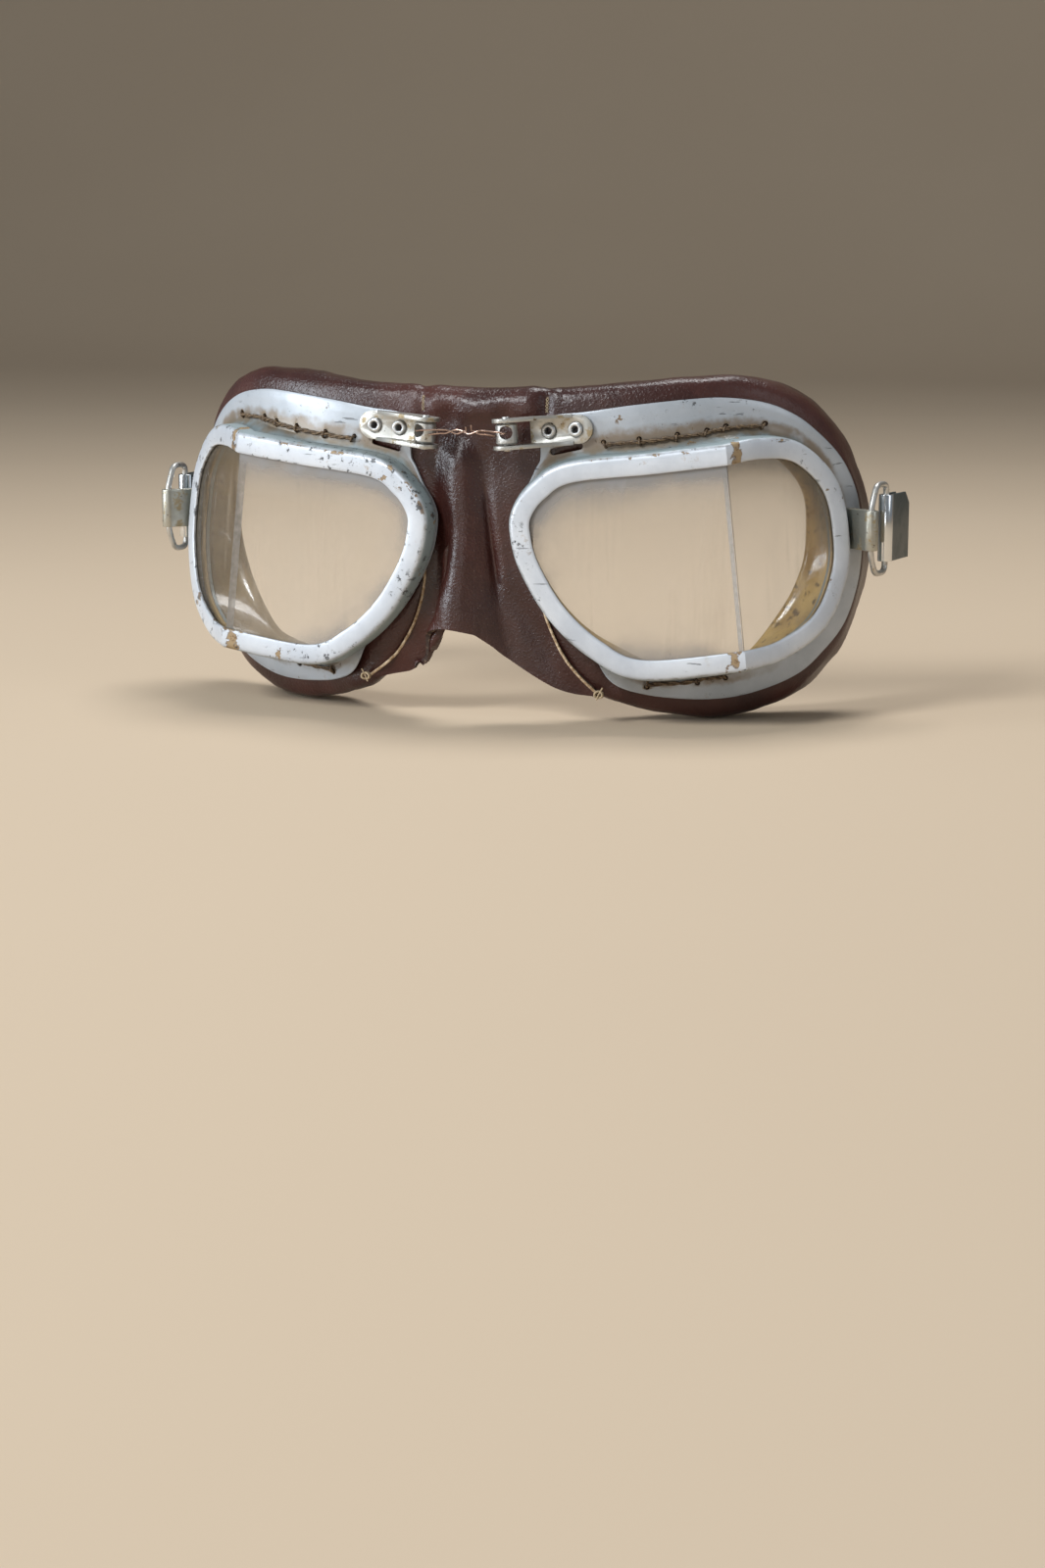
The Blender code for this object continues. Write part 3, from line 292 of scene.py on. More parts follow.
FLOOR_SIZE, FLOOR_RISE, FLOOR_SWEEP, FLOOR_GAP = 7, 3.5, 1.2, 0.0004
paper = two_toned("pale_floor", 3.0, 2.0, ((0.60, 0.47, 0.335), (0.64, 0.51, 0.37)), 0.85)
bpy.ops.mesh.primitive_plane_add(size=FLOOR_SIZE, location=(0, -0.5, solid_box[0].z - FLOOR_GAP))
floor = named("floor", paper)
with editing(floor, [v.co.y > 0 for v in floor.data.vertices]):
    bpy.ops.mesh.extrude_region_move(TRANSFORM_OT_translate={"value": (0, 0, FLOOR_RISE)})
floor.data.transform(floor.matrix_world)
floor.matrix_world = Matrix.Identity(4)
bend = floor.modifiers.new("sweep", "BEVEL")
bend.width, bend.segments = FLOOR_SWEEP, 16
apply_all(floor)
smooth(40)


# Lens rims: a bezel pressed from sheet, bent at the fold between the two panes and mitred there,
# enamelled pale blue-grey. The enamel is chipped, and yellow primer shows at the mitres. Painted
# shade darkens the outer wall, and dirt with painted shade darkens the inner edge.

SIDES = {"left": 1, "right": -1}
EYE_BODY = {"left": "left_eye", "right": "right_eye"}
NASAL_EDGE = (0.0155, 0.0015)
FRONT_WIDTH, SIDE_WIDTH = 0.0493, 0.0287
OPENING_HEIGHT, OPENING_MIDDLE = 0.0437, -0.0289
FRONT_WRAP, SIDE_WRAP, FOLD_LEAN = (math.radians(d) for d in (7.5, 48.0, 6.2))
RIM_DEPTH = 0.0044
FRONT_SHARES = (
    (1.0, 0.5), (0.6, 0.447), (0.21, 0.395), (0.076, 0.308), (0.008, 0.21), (0.0, 0.12),
    (0.04, -0.045), (0.17, -0.285), (0.355, -0.47), (0.57, -0.565), (1.0, -0.5),
)
FRONT_STEPS = (16, 16, 12, 8, 8, 8, 12, 12, 12, 16)
SIDE_SHARES = (
    (0.0, -0.5), (0.43, -0.46), (0.80, -0.33), (0.975, -0.12), (1.0, 0.07),
    (0.90, 0.33), (0.6, 0.5), (0.25, 0.527), (0.0, 0.5),
)
SIDE_STEPS = (8, 10, 10, 10, 10, 10, 10, 8)
FRONT_ALONG = Vector((math.cos(FRONT_WRAP), math.sin(FRONT_WRAP), 0))
SIDE_ALONG = Vector((math.cos(SIDE_WRAP), math.sin(SIDE_WRAP), 0))
FOLD_DOWN = FRONT_ALONG * math.sin(FOLD_LEAN) - Vector((0, 0, math.cos(FOLD_LEAN)))
FRONT_OUT = FOLD_DOWN.cross(FRONT_ALONG).normalized()
SIDE_OUT = FOLD_DOWN.cross(SIDE_ALONG).normalized()
MITRE_OUT = (FRONT_OUT + SIDE_OUT) / (1 + FRONT_OUT.dot(SIDE_OUT))
OUT = {"front": FRONT_OUT, "side": SIDE_OUT, "fold": MITRE_OUT}
MITRE_DRAW = math.sqrt(MITRE_OUT.length_squared - 1)


def curve_between(before, start, end, after, t):
    """The spot at t, from 0 to 1, on the stretch of a smooth curve from start to end."""
    return 0.5 * (
        2 * start + (end - before) * t + (2 * before - 5 * start + 4 * end - after) * t**2
        + (3 * start - before - 3 * end + after) * t**3
    )


def curve_through(points, counts, closed=False):
    """Points on a smooth curve through the given ones, with so many steps on each stretch."""
    total, found = len(points), []
    if isinstance(counts, int):
        counts = [counts] * (total if closed else total - 1)
    for index, steps in enumerate(counts):
        near = [index + k for k in (-1, 0, 1, 2)]
        near = [points[k % total if closed else min(max(k, 0), total - 1)] for k in near]
        found += [curve_between(*near, step / steps) for step in range(steps)]
    return found if closed else found + [points[-1].copy()]


def eased(share):
    held = min(max(share, 0.0), 1.0)
    return held * held * (3 - 2 * held)


def fold_along(z):
    return FRONT_WIDTH + math.tan(FOLD_LEAN) * (OPENING_MIDDLE - z)


def on_glass(kind, along, z):
    """A point of the flat pattern, folded onto the panes' outer faces."""
    start = Vector((*NASAL_EDGE, z))
    if kind == "side":
        return start + FRONT_ALONG * fold_along(z) + SIDE_ALONG * (along - fold_along(z))
    return start + FRONT_ALONG * along


def opening_edge():
    """The opening's edge, station by station: which pane, place on the flat pattern, way outwards."""
    front, side = (
        [Vector((start + u * width, OPENING_MIDDLE + v * OPENING_HEIGHT)) for u, v in shares]
        for start, width, shares in (
            (0, FRONT_WIDTH, FRONT_SHARES), (FRONT_WIDTH, SIDE_WIDTH, SIDE_SHARES)
        )
    )
    for corner in (front[0], front[-1], side[0], side[-1]):
        corner.x = fold_along(corner.y)
    front, side = curve_through(front, FRONT_STEPS), curve_through(side, SIDE_STEPS)
    places = [("front", p) for p in front[1:-1]] + [("fold", front[-1])]
    places += [("side", p) for p in side[1:-1]] + [("fold", front[0])]
    well_inside = Vector((FRONT_WIDTH * 0.8, OPENING_MIDDLE))
    found = []
    for index, (kind, place) in enumerate(places):
        along = (places[(index + 1) % len(places)][1] - places[index - 1][1]).normalized()
        outward = Vector((-along.y, along.x))
        if outward.dot(place - well_inside) < 0:
            outward.negate()
        if kind == "fold":
            down = Vector((math.sin(FOLD_LEAN), -math.cos(FOLD_LEAN)))
            outward = down / down.dot(outward)
        found.append((kind, place, outward))
    return found


STATIONS = opening_edge()
ROUND = range(len(STATIONS))
NEAR = 4  # stations that share one way outwards on the collar
MITRE_REACH, FOLD_SPREAD = 0.006, 0.044


def behind_pane(kind, place, outward, depth):
    """The point that far behind the pane's face, drawn away from the mitre so that none cross it."""
    if kind != "fold":
        gap = place.x - fold_along(place.y)
        draw = depth * MITRE_DRAW * max(0.0, 1 - abs(gap) / MITRE_REACH) * math.copysign(1, gap)
        place = place + Vector((draw, -draw * outward.x / outward.y)) if draw else place
    return on_glass(kind, place.x, place.y) - OUT[kind] * depth


def off_edge(index, offset, depth):
    """The point that far outside the opening's edge and that far behind the glass's face."""
    kind, place, outward = STATIONS[index]
    return behind_pane(kind, place + outward * offset, outward, depth)


def sided(place, side):
    """The place on the left eye, or its mirror on the right one."""
    return Vector((place.x * side, place.y, place.z))


def face_outwards(piece, angle=38):
    with editing(piece):
        bpy.ops.mesh.normals_make_consistent(inside=False)
    smooth(angle)


def flip(piece):
    with editing(piece):
        bpy.ops.mesh.flip_normals()


def mark_mesh(piece, name, values):
    """Gives each vertex a value that a finish can read."""
    piece.data.attributes.new(name, "FLOAT", "POINT").data.foreach_set("value", values)


def add_ring(name, rings, side, *materials, angle=38, zones=None):
    """A torus whose rows are drawn onto the given rings one by one."""
    bpy.ops.mesh.primitive_torus_add(
        major_segments=len(rings), minor_segments=len(rings[0]), major_radius=0.03, minor_radius=0.002
    )
    piece = named(name, *materials)
    for vertex, place in zip(piece.data.vertices, (p for ring in rings for p in ring)):
        vertex.co = sided(place, side)
    if zones:
        mark_mesh(piece, "zone", list(zones) * len(rings))
    face_outwards(piece, angle)
    return piece


RIM_ZONES = (0.1, 0.2, 0.3, 0.6, 1, 1, 1, 1, 1.2, 1.5, 1.7, 2, 2.3, 2.7, 3, 3.2, 3.3, 3.4, 3, 2, 0, 0)
RIM_SECTION = (
    (0.00, 0.62), (-0.03, 0.38), (0.04, 0.16), (0.22, 0.03), (0.6, -0.03), (1.6, -0.08), (2.8, -0.08),
    (3.7, -0.02), (4.25, 0.10), (4.62, 0.34), (4.86, 0.62), (5.04, 1.05), (5.18, 2.0), (5.36, 3.4),
    (5.48, 4.25), (5.42, 4.42), (5.1, 4.42), (4.8, 4.2), (4.55, 2.4), (4.35, 1.2), (3.95, 0.78),
    (0.2, 0.72),
)
FOLD_ACROSS = (FRONT_ALONG + SIDE_ALONG).normalized()
FOLD_PLACE = on_glass("front", fold_along(OPENING_MIDDLE), OPENING_MIDDLE).dot(FOLD_ACROSS)


def enamel(name, side, tones, shift, worn=0.5, primed=True):
    """Pale blue-grey enamel with dark chips, fine scratches, dirt, primer at the mitres, and painted
    shade on the wall and the inner edge.
    """
    paint = Finish(name, shift)
    zone = paint.mark("zone")
    wall = zone.rise(1.35, 2.1)
    cloud = paint.grain(55, 5.0, rough=0.65).rise(0.34, 0.7)
    # The outer wall and the collar are painted darker and greener: painted shade on sides that face away
    # from the light.
    painted_wall_shade = tuple(c * k for c, k in zip(tones[1], (0.50, 0.60, 0.56)))
    ragged = paint.grain(420, 3.0) - 0.5
    spot = paint.grain(190, 4.0, rough=0.65)
    gone = 0.03 * worn
    primer = spot.rise(0.68 - gone, 0.70 - gone) * paint.grain(70, 2.0).rise(0.5, 0.6)
    if primed:
        outer = zone.rise(1.0, 1.15) * zone.fall(1.35, 1.6) * paint.height().rise(-0.024, -0.014)
        primer = primer.or_more(outer * spot.rise(0.60 - gone, 0.63 - gone))
        from_fold = paint.along(sided(FOLD_ACROSS, side)) - FOLD_PLACE
        mitre = (from_fold.size() + ragged * 0.0075).fall(0.0007, 0.0013)
        primer = primer.or_more(mitre * paint.grain(260, 3.0).rise(0.38, 0.46))
    size = paint.grain(520, 5.0, rough=0.75)
    where = paint.grain(95, 3.0)
    edges = zone.fall(0.35, 0.9).or_more(zone.rise(1.0, 1.2) * zone.fall(1.7, 2.4))
    often = where + edges * 0.09
    chipped = size.rise(0.650 - 0.04 * worn, 0.665 - 0.04 * worn)
    chipped = chipped * often.rise(0.54 - 0.06 * worn, 0.62 - 0.06 * worn)
    dots = paint.pebble(1150, paint.stretched((1, 1, 1.5))).fall(0.05, 0.12) * often.rise(0.47, 0.56)
    lines = paint.grain(190, 4.0, paint.stretched((0.45, 1, 5.0), (0.3, 0.2, 0.6)))
    scratch = lines.rise(0.645, 0.67) * paint.grain(80, 2.0).rise(0.46, 0.58)
    brown = paint.grain(230, 5.0, rough=0.7).rise(0.60, 0.70) * where.rise(0.44, 0.62)
    # Darker along the inner edge beside the glass: dirt and painted shade in the gap. The outer rounded
    # edge gets dirt in spots.
    outer_dirt = zone.rise(1.1, 1.5) * zone.fall(1.6, 2.0) * spot.rise(0.42, 0.6)
    edge_dirt_and_shade = zone.fall(0.12, 0.5).or_more(outer_dirt)
    primer_edge = primer * (1 - primer) * 3
    bare = chipped.or_more(dots * (0.35 + worn * 0.5)).or_more(scratch * 0.75)
    colour = paint.layered(
        paint.mix(cloud, *tones),
        (wall * 0.85, painted_wall_shade),
        (edge_dirt_and_shade * (0.45 + ragged), (0.16, 0.145, 0.115)),
        (primer * 0.9, (0.33, 0.215, 0.085)),
        (primer * size.rise(0.5, 0.62), (0.17, 0.10, 0.05)),
        (primer_edge.or_less(1), (0.12, 0.07, 0.035)),
        (brown * (0.35 + 0.3 * worn), (0.30, 0.21, 0.12)),
        (bare * 0.92, (0.075, 0.08, 0.085)),
    )
    rough = 0.34 + cloud * 0.1 + primer * 0.25 + bare * 0.15 + wall * 0.06
    paint.set(Base_Color=colour, Roughness=rough, Metallic=0.2, Coat_Weight=0.2, Coat_Roughness=0.2)
    uneven = paint.grain(300, 4.0) * 0.3 + paint.grain(1500, 2.0) * 0.08
    paint.relief(uneven - bare * 0.6 - primer * 0.4, 0.00013)
    return paint


RIM_TONES = ((0.64, 0.675, 0.725), (0.51, 0.545, 0.60))
RIM_WORN = {"left": 0.5, "right": 1.5}
for eye, side in SIDES.items():
    paint = enamel(f"rim_enamel_{eye}", side, RIM_TONES, (0.13 * side, 0.2, 0.1), RIM_WORN[eye])
    rings = [[off_edge(i, o / 1000, d / 1000) for o, d in RIM_SECTION] for i in ROUND]
    rim = add_ring(f"rim_{eye}", rings, side, paint.material, angle=32, zones=RIM_ZONES)
    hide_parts(f"lens_rim_{eye}")
    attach(rim, EYE_BODY[eye])


# Frame plates: one pressing for each eye, a collar that carries the glass and a wide flange that
# follows the brow, temple and cheek, holed for the lace and the bracket's rivets, and enamelled.

WALL, GAP = 0.0008, 0.0003
EYE_WIDTH, FLANGE_HEIGHT, PAD_HEIGHT = 0.086782, 0.0735, 0.0835
EYE_MIDDLE = Vector((0.048, OPENING_MIDDLE))
COLLAR_FRONT, COLLAR_OUTER = 0.0041, 0.0038
COLLAR_FOOT, NASAL_FOOT = 0.0070, 0.0042
TUCK_START, TUCK_RUN, TUCK_DROP, TUCK_DROP_RUN = 0.42, 0.2, 0.0125, 0.005
FLANGE_SHARES = (
    (0.188, -0.09), (0.186, 0.03), (0.225, 0.052), (0.315, 0.064), (0.43, 0.085), (0.575, 0.105),
    (0.67, 0.111), (0.765, 0.096), (0.835, 0.06), (0.89, 0.006), (0.95, -0.085), (0.985, -0.19),
    (0.999, -0.3), (1.0, -0.42), (0.988, -0.535), (0.957, -0.655), (0.905, -0.745), (0.85, -0.81),
    (0.765, -0.857), (0.67, -0.883), (0.56, -0.884), (0.462, -0.866), (0.38, -0.818), (0.325, -0.70),
    (0.25, -0.57), (0.19, -0.475), (0.153, -0.39), (0.138, -0.31), (0.142, -0.235), (0.16, -0.165),
)
BROW_BACK, TEMPLE_BACK, TEMPLE_SWEEP = 0.0068, 0.0352, 2.9
CHEEK_BACK, CHEEK_START, CHEEK_RUN, CHEEK_DROP = 0.008, 0.024, 0.023, 0.065


def face_back(x, z):
    """How far back the flange lies over the brow, the temple and the cheek."""
    cheek = eased((abs(x) - CHEEK_START) / CHEEK_RUN)
    temple = TEMPLE_BACK * (abs(x) / EYE_WIDTH) ** TEMPLE_SWEEP
    return BROW_BACK + temple + CHEEK_BACK * cheek * max(0.0, -z / CHEEK_DROP)


def on_face(flat, behind):
    return Vector((flat.x, face_back(flat.x, flat.y) + behind, flat.y))


def front_view(point):
    return Vector((point.x, point.z))


def to_face(index, offset, behind):
    """Where a line back from the frame's seat meets the surface that far behind the flange."""
    kind, place, _ = STATIONS[index]
    around = (STATIONS[(index + k) % len(STATIONS)][2].normalized() for k in range(-NEAR, NEAR + 1))
    near = sum(around, Vector((0, 0))).normalized()
    start = behind_pane(kind, place + near * offset, near, RIM_DEPTH)
    share = eased((place.x - fold_along(place.y)) / FOLD_SPREAD + 0.5)
    back = -(FRONT_OUT * (1 - share) + SIDE_OUT * share).normalized()
    low, high = 0.0, TEMPLE_BACK
    for _ in range(30):
        middle = (low + high) / 2
        point = start + back * middle
        before_it = point.y < face_back(point.x, point.z) + behind
        low, high = (middle, high) if before_it else (low, middle)
    return start + back * low


def outline(shares, height):
    return curve_through([Vector((u * EYE_WIDTH, v * height)) for u, v in shares], 8, True)


def reach_to(edge, way):
    """How far a closed outline lies from the eye's middle, that way."""
    best = 1.0
    for a, b in zip(edge, edge[1:] + edge[:1]):
        run, gap = b - a, a - EYE_MIDDLE
        across = way.x * run.y - way.y * run.x
        if abs(across) > 1e-12:
            along = (gap.x * run.y - gap.y * run.x) / across
            share = (gap.x * way.y - gap.y * way.x) / across
            if along > 0 and 0 <= share <= 1:
                best = min(best, along)
    return best


def foot_offset(index):
    """Where the collar meets the flange: tucked in behind the rim beside the nose."""
    place = STATIONS[index][1]
    beside_nose = 1 - eased((place.x / FRONT_WIDTH - TUCK_START) / TUCK_RUN)
    low_enough = eased((-TUCK_DROP - place.y) / TUCK_DROP_RUN)
    return COLLAR_FOOT + (NASAL_FOOT - COLLAR_FOOT) * beside_nose * low_enough


FLANGE_LINE = outline(FLANGE_SHARES, FLANGE_HEIGHT)
FEET = [to_face(i, foot_offset(i), 0) for i in ROUND]
BACK_FEET = [to_face(i, foot_offset(i) - WALL, WALL) for i in ROUND]
WAYS = [(front_view(p) - EYE_MIDDLE).normalized() for p in FEET]
LEAST_LIP = 0.0009
FLANGE_EDGE = [
    EYE_MIDDLE
    + way * max((front_view(foot) - EYE_MIDDLE).length + LEAST_LIP, reach_to(FLANGE_LINE, way))
    for way, foot in zip(WAYS, FEET)
]


def flange_enamel(name, side, shift):
    """The same enamel in a darker coat, with thin brown rust along the lace, dirt at the rim and painted
    shade on the collar.
    """
    paint = enamel(name, side, ((0.47, 0.505, 0.55), (0.38, 0.415, 0.455)), shift, 0.45, False)
    ragged = paint.grain(330, 4.0) - 0.5
    height = paint.height()
    laced = height.rise(-0.026, -0.010).or_more(height.fall(-0.062, -0.055))
    stained = (paint.mark("gutter") + ragged * 0.6).fall(0.1, 0.5)
    stained = stained * paint.grain(110, 3.0).rise(0.3, 0.52) * laced
    under = Signal(paint, paint.shader.inputs["Base Color"].links[0].from_socket)
    paint.set(Base_Color=paint.mix(stained * 0.8, under, (0.19, 0.125, 0.06)))
    return paint


LACE_OUT, TOP_LACE_START = 0.0083, 0.0167
LACE_LINE = [(STATIONS[i][1], front_view(to_face(i, LACE_OUT, 0))) for i in ROUND]
LACE_HOLES = {"top": (0.032, 0.289, 0.577, 0.849, 1.091, 1.363), "bottom": (0.56, 0.78, 1.0)}


def lace_place(share, row):
    start = TOP_LACE_START if row == "top" else 0.0
    wanted = start + share * (FRONT_WIDTH - start)
    for (a, flat_a), (b, flat_b) in zip(LACE_LINE, LACE_LINE[1:] + LACE_LINE[:1]):
        this_row = (a.y > OPENING_MIDDLE) == (row == "top")
        if this_row and min(a.x, b.x) <= wanted <= max(a.x, b.x) and a.x != b.x:
            return flat_a + (flat_b - flat_a) * ((wanted - a.x) / (b.x - a.x))


def pierce(piece, places, radius, side, reach=0.003, run=None):
    """Drills round holes straight back through the piece, drawn out along a run into slots."""
    drills = []
    for place in places:
        bpy.ops.mesh.primitive_cylinder_add(
            vertices=20, radius=radius, depth=2 * reach, location=sided(place, side),
            rotation=(math.pi / 2, 0, 0),
        )
        drills.append(bpy.context.object)
        for vertex in drills[-1].data.vertices if run else ():
            if vertex.co.x * side > 0:
                vertex.co += Vector((run.x * side, run.z, 0))
    drill = weld("drill", drills[::-1])
    hole = piece.modifiers.new("holes", "BOOLEAN")
    hole.operation, hole.solver, hole.object = "DIFFERENCE", "EXACT", drill
    apply_all(piece)
    bpy.data.objects.remove(drill)


def weld(name, pieces):
    pick(*pieces)
    bpy.ops.object.join()
    joined = bpy.context.object
    joined.name = joined.data.name = name
    return joined


HINGE = Matrix.Translation((0.0102, 0, 0)) @ Matrix.Rotation(-math.radians(4), 4, "Y")
RIVETS, RIVET_DROP = {"inner": 0.0086, "outer": 0.0151}, 0.0004
BRACKET_ACROSS, BRACKET_MIDDLE, BRACKET_LIFT = 0.02205, 0.01185, 0.00048
BRACKET_SKEW = math.radians(4.5)
LACE_HOLE, RIVET_HOLE, SLOT_HOLE = 0.0006, 0.0016, 0.00085
SLOT_START, SLOT_RUN = Vector((0.0196, -0.0048)), Vector((0.0062, 0, 0.0014))
COLLAR_LIP, PRESSED_EDGE, CUT_EDGE = 0.0015, 0.0002, 0.00025
FLANGE_ROWS = (  # share of the way from the collar to the cut edge, and how far behind the front
    (0.12, 0), (0.4, 0), (0.7, 0), (0.93, 0), (1.0, CUT_EDGE), (1.0, WALL - PRESSED_EDGE),
    (0.95, WALL), (0.5, WALL),
)
PLATE_ZONES = [1.6, 1.6, 1.7, 2, 1.9, 1.2, 1, 1, 1, 1.25, 2, 3, 3, 3, 3, 3, 3]
PLATE_GUTTER = [1.0, 1, 0.8, 0.5, 0.1, 0, 0.3, 0.8, 1, 1, 1, 1, 1, 1, 1, 1, 1]


def web_back(x):
    """The bracket's back face in the hinge's frame: it lies along the flange."""
    return face_back(BRACKET_ACROSS, 0) - BRACKET_LIFT + math.tan(BRACKET_SKEW) * (x - BRACKET_MIDDLE)


for eye, side in SIDES.items():
    rings = []
    for i in ROUND:
        foot, edge = FEET[i], FLANGE_EDGE[i]
        front_corner = off_edge(i, COLLAR_OUTER, COLLAR_FRONT + WALL)
        rings.append([
            off_edge(i, COLLAR_LIP, COLLAR_FRONT),
            off_edge(i, COLLAR_OUTER - PRESSED_EDGE, COLLAR_FRONT),
            off_edge(i, COLLAR_OUTER, COLLAR_FRONT + PRESSED_EDGE),
            front_corner.lerp(foot, 0.3), front_corner.lerp(foot, 0.85),
            *(on_face(front_view(foot).lerp(edge, share), behind) for share, behind in FLANGE_ROWS),
            BACK_FEET[i],
            off_edge(i, COLLAR_OUTER - WALL, COLLAR_FRONT + 2 * WALL),
            off_edge(i, COLLAR_OUTER - WALL, COLLAR_FRONT + WALL),
            off_edge(i, COLLAR_LIP, COLLAR_FRONT + WALL),
        ])
    paint = flange_enamel(f"flange_enamel_{eye}", side, (0.3 * side, 0.4, 0.6))
    plate = add_ring(f"flange_{eye}", rings, side, paint.material, angle=30, zones=PLATE_ZONES)
    mark_mesh(plate, "gutter", PLATE_GUTTER * len(rings))
    laced = [on_face(lace_place(s, row), 0) for row, shares in LACE_HOLES.items() for s in shares]
    pierce(plate, laced, LACE_HOLE, side)
    riveted = [HINGE @ Vector((x, web_back(x), -RIVET_DROP)) for x in RIVETS.values()]
    pierce(plate, riveted, RIVET_HOLE, side)
    pierce(plate, [on_face(SLOT_START, 0)], SLOT_HOLE, side, run=SLOT_RUN)
    smooth(30)
    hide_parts(f"frame_plate_{eye}")
    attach(plate, EYE_BODY[eye])


# Lens panes: flat laminated glass, a front and a side pane for each eye, ground to meet at the
# fold. Age has left a milky bloom, specks and dirt along the rim, and the ground edges are grey.
# Painted shade darkens the upper part near the rim, and a painted reflection clouds the glass
# at grazing angles.


def glass(name, shift, haze, painted_shade_tone, film):
    pane = Finish(name, shift)
    inside = pane.mark("from_rim")
    bloom = pane.grain(24, 4.0, pane.stretched((1, 1, 0.5), (0, 0.35, 0)), rough=0.6)
    streak = pane.grain(60, 3.0, pane.stretched((2.2, 2.2, 0.22), (0, 0.32, 0)))
    # The upper part of the pane, where the painted shade near the rim falls.
    high = pane.height().rise(-0.036, -0.012) * 0.6 + pane.grain(40, 3.0).rise(0.42, 0.62) * 0.5
    high = high.or_less(1)
    # Dark grey along the rim, held to the upper part: partly dirt, partly painted shade.
    grime_and_painted_shade = (inside + (pane.grain(190, 4.0) - 0.5) * 0.004).fall(0.0, 0.0046) * high
    # Painted shade: darker towards the rim in the upper part, in each pane's own tone.
    shade = (inside + (bloom - 0.5) * 0.012).fall(0.0008, 0.0115) * high
    specks = pane.pebble(520).fall(0.03, 0.09) * pane.grain(75, 2.0).rise(0.48, 0.62)
    veil = bloom.rise(0.42, 0.75) * 0.12 + streak.rise(0.54, 0.72) * 0.22 + haze
    colour = pane.layered(
        pane.mix(bloom, (0.50, 0.38, 0.26), (0.62, 0.54, 0.45)),
        (grime_and_painted_shade, (0.17, 0.17, 0.175)), (shade * 0.7, painted_shade_tone), (specks * 0.5, (0.2, 0.18, 0.15)),
    )
    # Painted reflection: the glass turns less clear at grazing angles, standing in for its sheen.
    edge = pane.node("LayerWeight", {}, {"Blend": 0.25}, "Fresnel")
    alpha = (veil + (grime_and_painted_shade * 0.42 + shade * 0.3) * film + specks * 0.35 + edge * 0.12).or_less(0.9)
    pane.set(Base_Color=colour, Alpha=alpha, Roughness=0.1 + bloom * 0.12 + grime_and_painted_shade * 0.25)
    pane.set(Specular_IOR_Level=0.8, IOR=1.5, Coat_Weight=1.0, Coat_Roughness=0.03)
    return pane.material


def ground_edge(name):
    edge = Finish(name)
    mottle = edge.grain(700, 3.0)
    colour = edge.mix(mottle, (0.24, 0.25, 0.26), (0.50, 0.52, 0.54))
    edge.set(Base_Color=colour, Roughness=0.35, Alpha=0.45 + mottle * 0.35)
    return edge.material


def inside_opening(place):
    """How far a place on the flat pattern lies inside the opening's edge; less than 0 is outside."""
    best, crossings = 1.0, 0
    for (_, a, _), (_, b, _) in zip(STATIONS, STATIONS[1:] + STATIONS[:1]):
        run = b - a
        share = min(max((place - a).dot(run) / run.length_squared, 0.0), 1.0)
        best = min(best, (a + run * share - place).length)
        if (a.y > place.y) != (b.y > place.y) and place.x < a.x + run.x * (place.y - a.y) / run.y:
            crossings += 1
    return best if crossings % 2 else -best


GLASS_FACE, GLASS_THICK, GLASS_COVER, GLASS_JOINT = 0.0010, 0.0018, 0.0031, 0.0003
GLASS_STEPS, GLASS_HEIGHT = 56, OPENING_HEIGHT * 1.13 + 2 * GLASS_COVER
# Each pane's tone is the colour of its painted shade along the upper rim.
PANES = {  # which way each runs from the fold, where it ends, and its haze, tint and film
    "front": (-1, -GLASS_COVER, 0.12, (0.21, 0.215, 0.225), 1.0),
    "side": (1, FRONT_WIDTH + SIDE_WIDTH + GLASS_COVER, 0.04, (0.17, 0.13, 0.07), 0.6),
}
for eye, side in SIDES.items():
    for kind, (away, far, *looks) in PANES.items():
        bpy.ops.mesh.primitive_grid_add(x_subdivisions=GLASS_STEPS, y_subdivisions=GLASS_STEPS, size=1)
        pane = named(
            f"{kind}_pane_{eye}",
            glass(f"{kind}_glass_{eye}", (0.11 * side, 0.05, 0.3 * (kind == "side")), *looks),
            ground_edge(f"{kind}_ground_edge_{eye}"),
        )
        depths = []
        for vertex in pane.data.vertices:
            z = OPENING_MIDDLE + vertex.co.y * GLASS_HEIGHT
            near = fold_along(z) + away * GLASS_JOINT
            along = near + (far - near) * (vertex.co.x + 0.5)
            depths.append(inside_opening(Vector((along, z))))
            vertex.co = sided(on_glass(kind, along, z) - OUT[kind] * GLASS_FACE, side)
        mark_mesh(pane, "from_rim", depths)
        with editing(pane, [depth < -GLASS_COVER for depth in depths]):
            bpy.ops.mesh.delete(type="VERT")
        if pane.data.polygons[0].normal.dot(sided(OUT[kind], side)) < 0:
            flip(pane)
        thick = pane.modifiers.new("thickness", "SOLIDIFY")
        thick.thickness, thick.offset, thick.material_offset_rim = GLASS_THICK, -1, 1
        apply_all(pane)
        smooth(20)
        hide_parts(f"{kind}_lens_{eye}")
        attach(pane, EYE_BODY[eye])


# Seal and lining: an amber gasket behind the glass and a band of varnished tan leather that lines
# the collar. The left eye's varnish is painted light gold, as painted light coming through the side
# pane, and the right eye's is painted darker, as painted shade.

# The left eye's tones are painted lighter, as painted light through the side pane. The right eye's are
# painted darker, as painted shade.
LINING_LIT_AND_SHADED_TONES = {
    "left": ((0.30, 0.175, 0.05), (0.55, 0.37, 0.13)),
    "right": ((0.11, 0.075, 0.03), (0.24, 0.17, 0.07)),
}
LINING_WALL, LINING_EDGE = 0.0005, 0.0002
ROLL_LEAST, ROLL_MORE, ROLL_START, ROLL_RUN = 0.0003, 0.0052, 0.058, 0.018
PAD_LEAST, PAD_MORE, PAD_SPAN = 0.007, 0.0085, 0.0713


def pad_depth(x):
    """How deep the pad stands behind the flange, from beside the nose to the temple."""
    return PAD_LEAST + PAD_MORE * min(max((x - NASAL_EDGE[0]) / PAD_SPAN * 3, 0.0), 1.0)


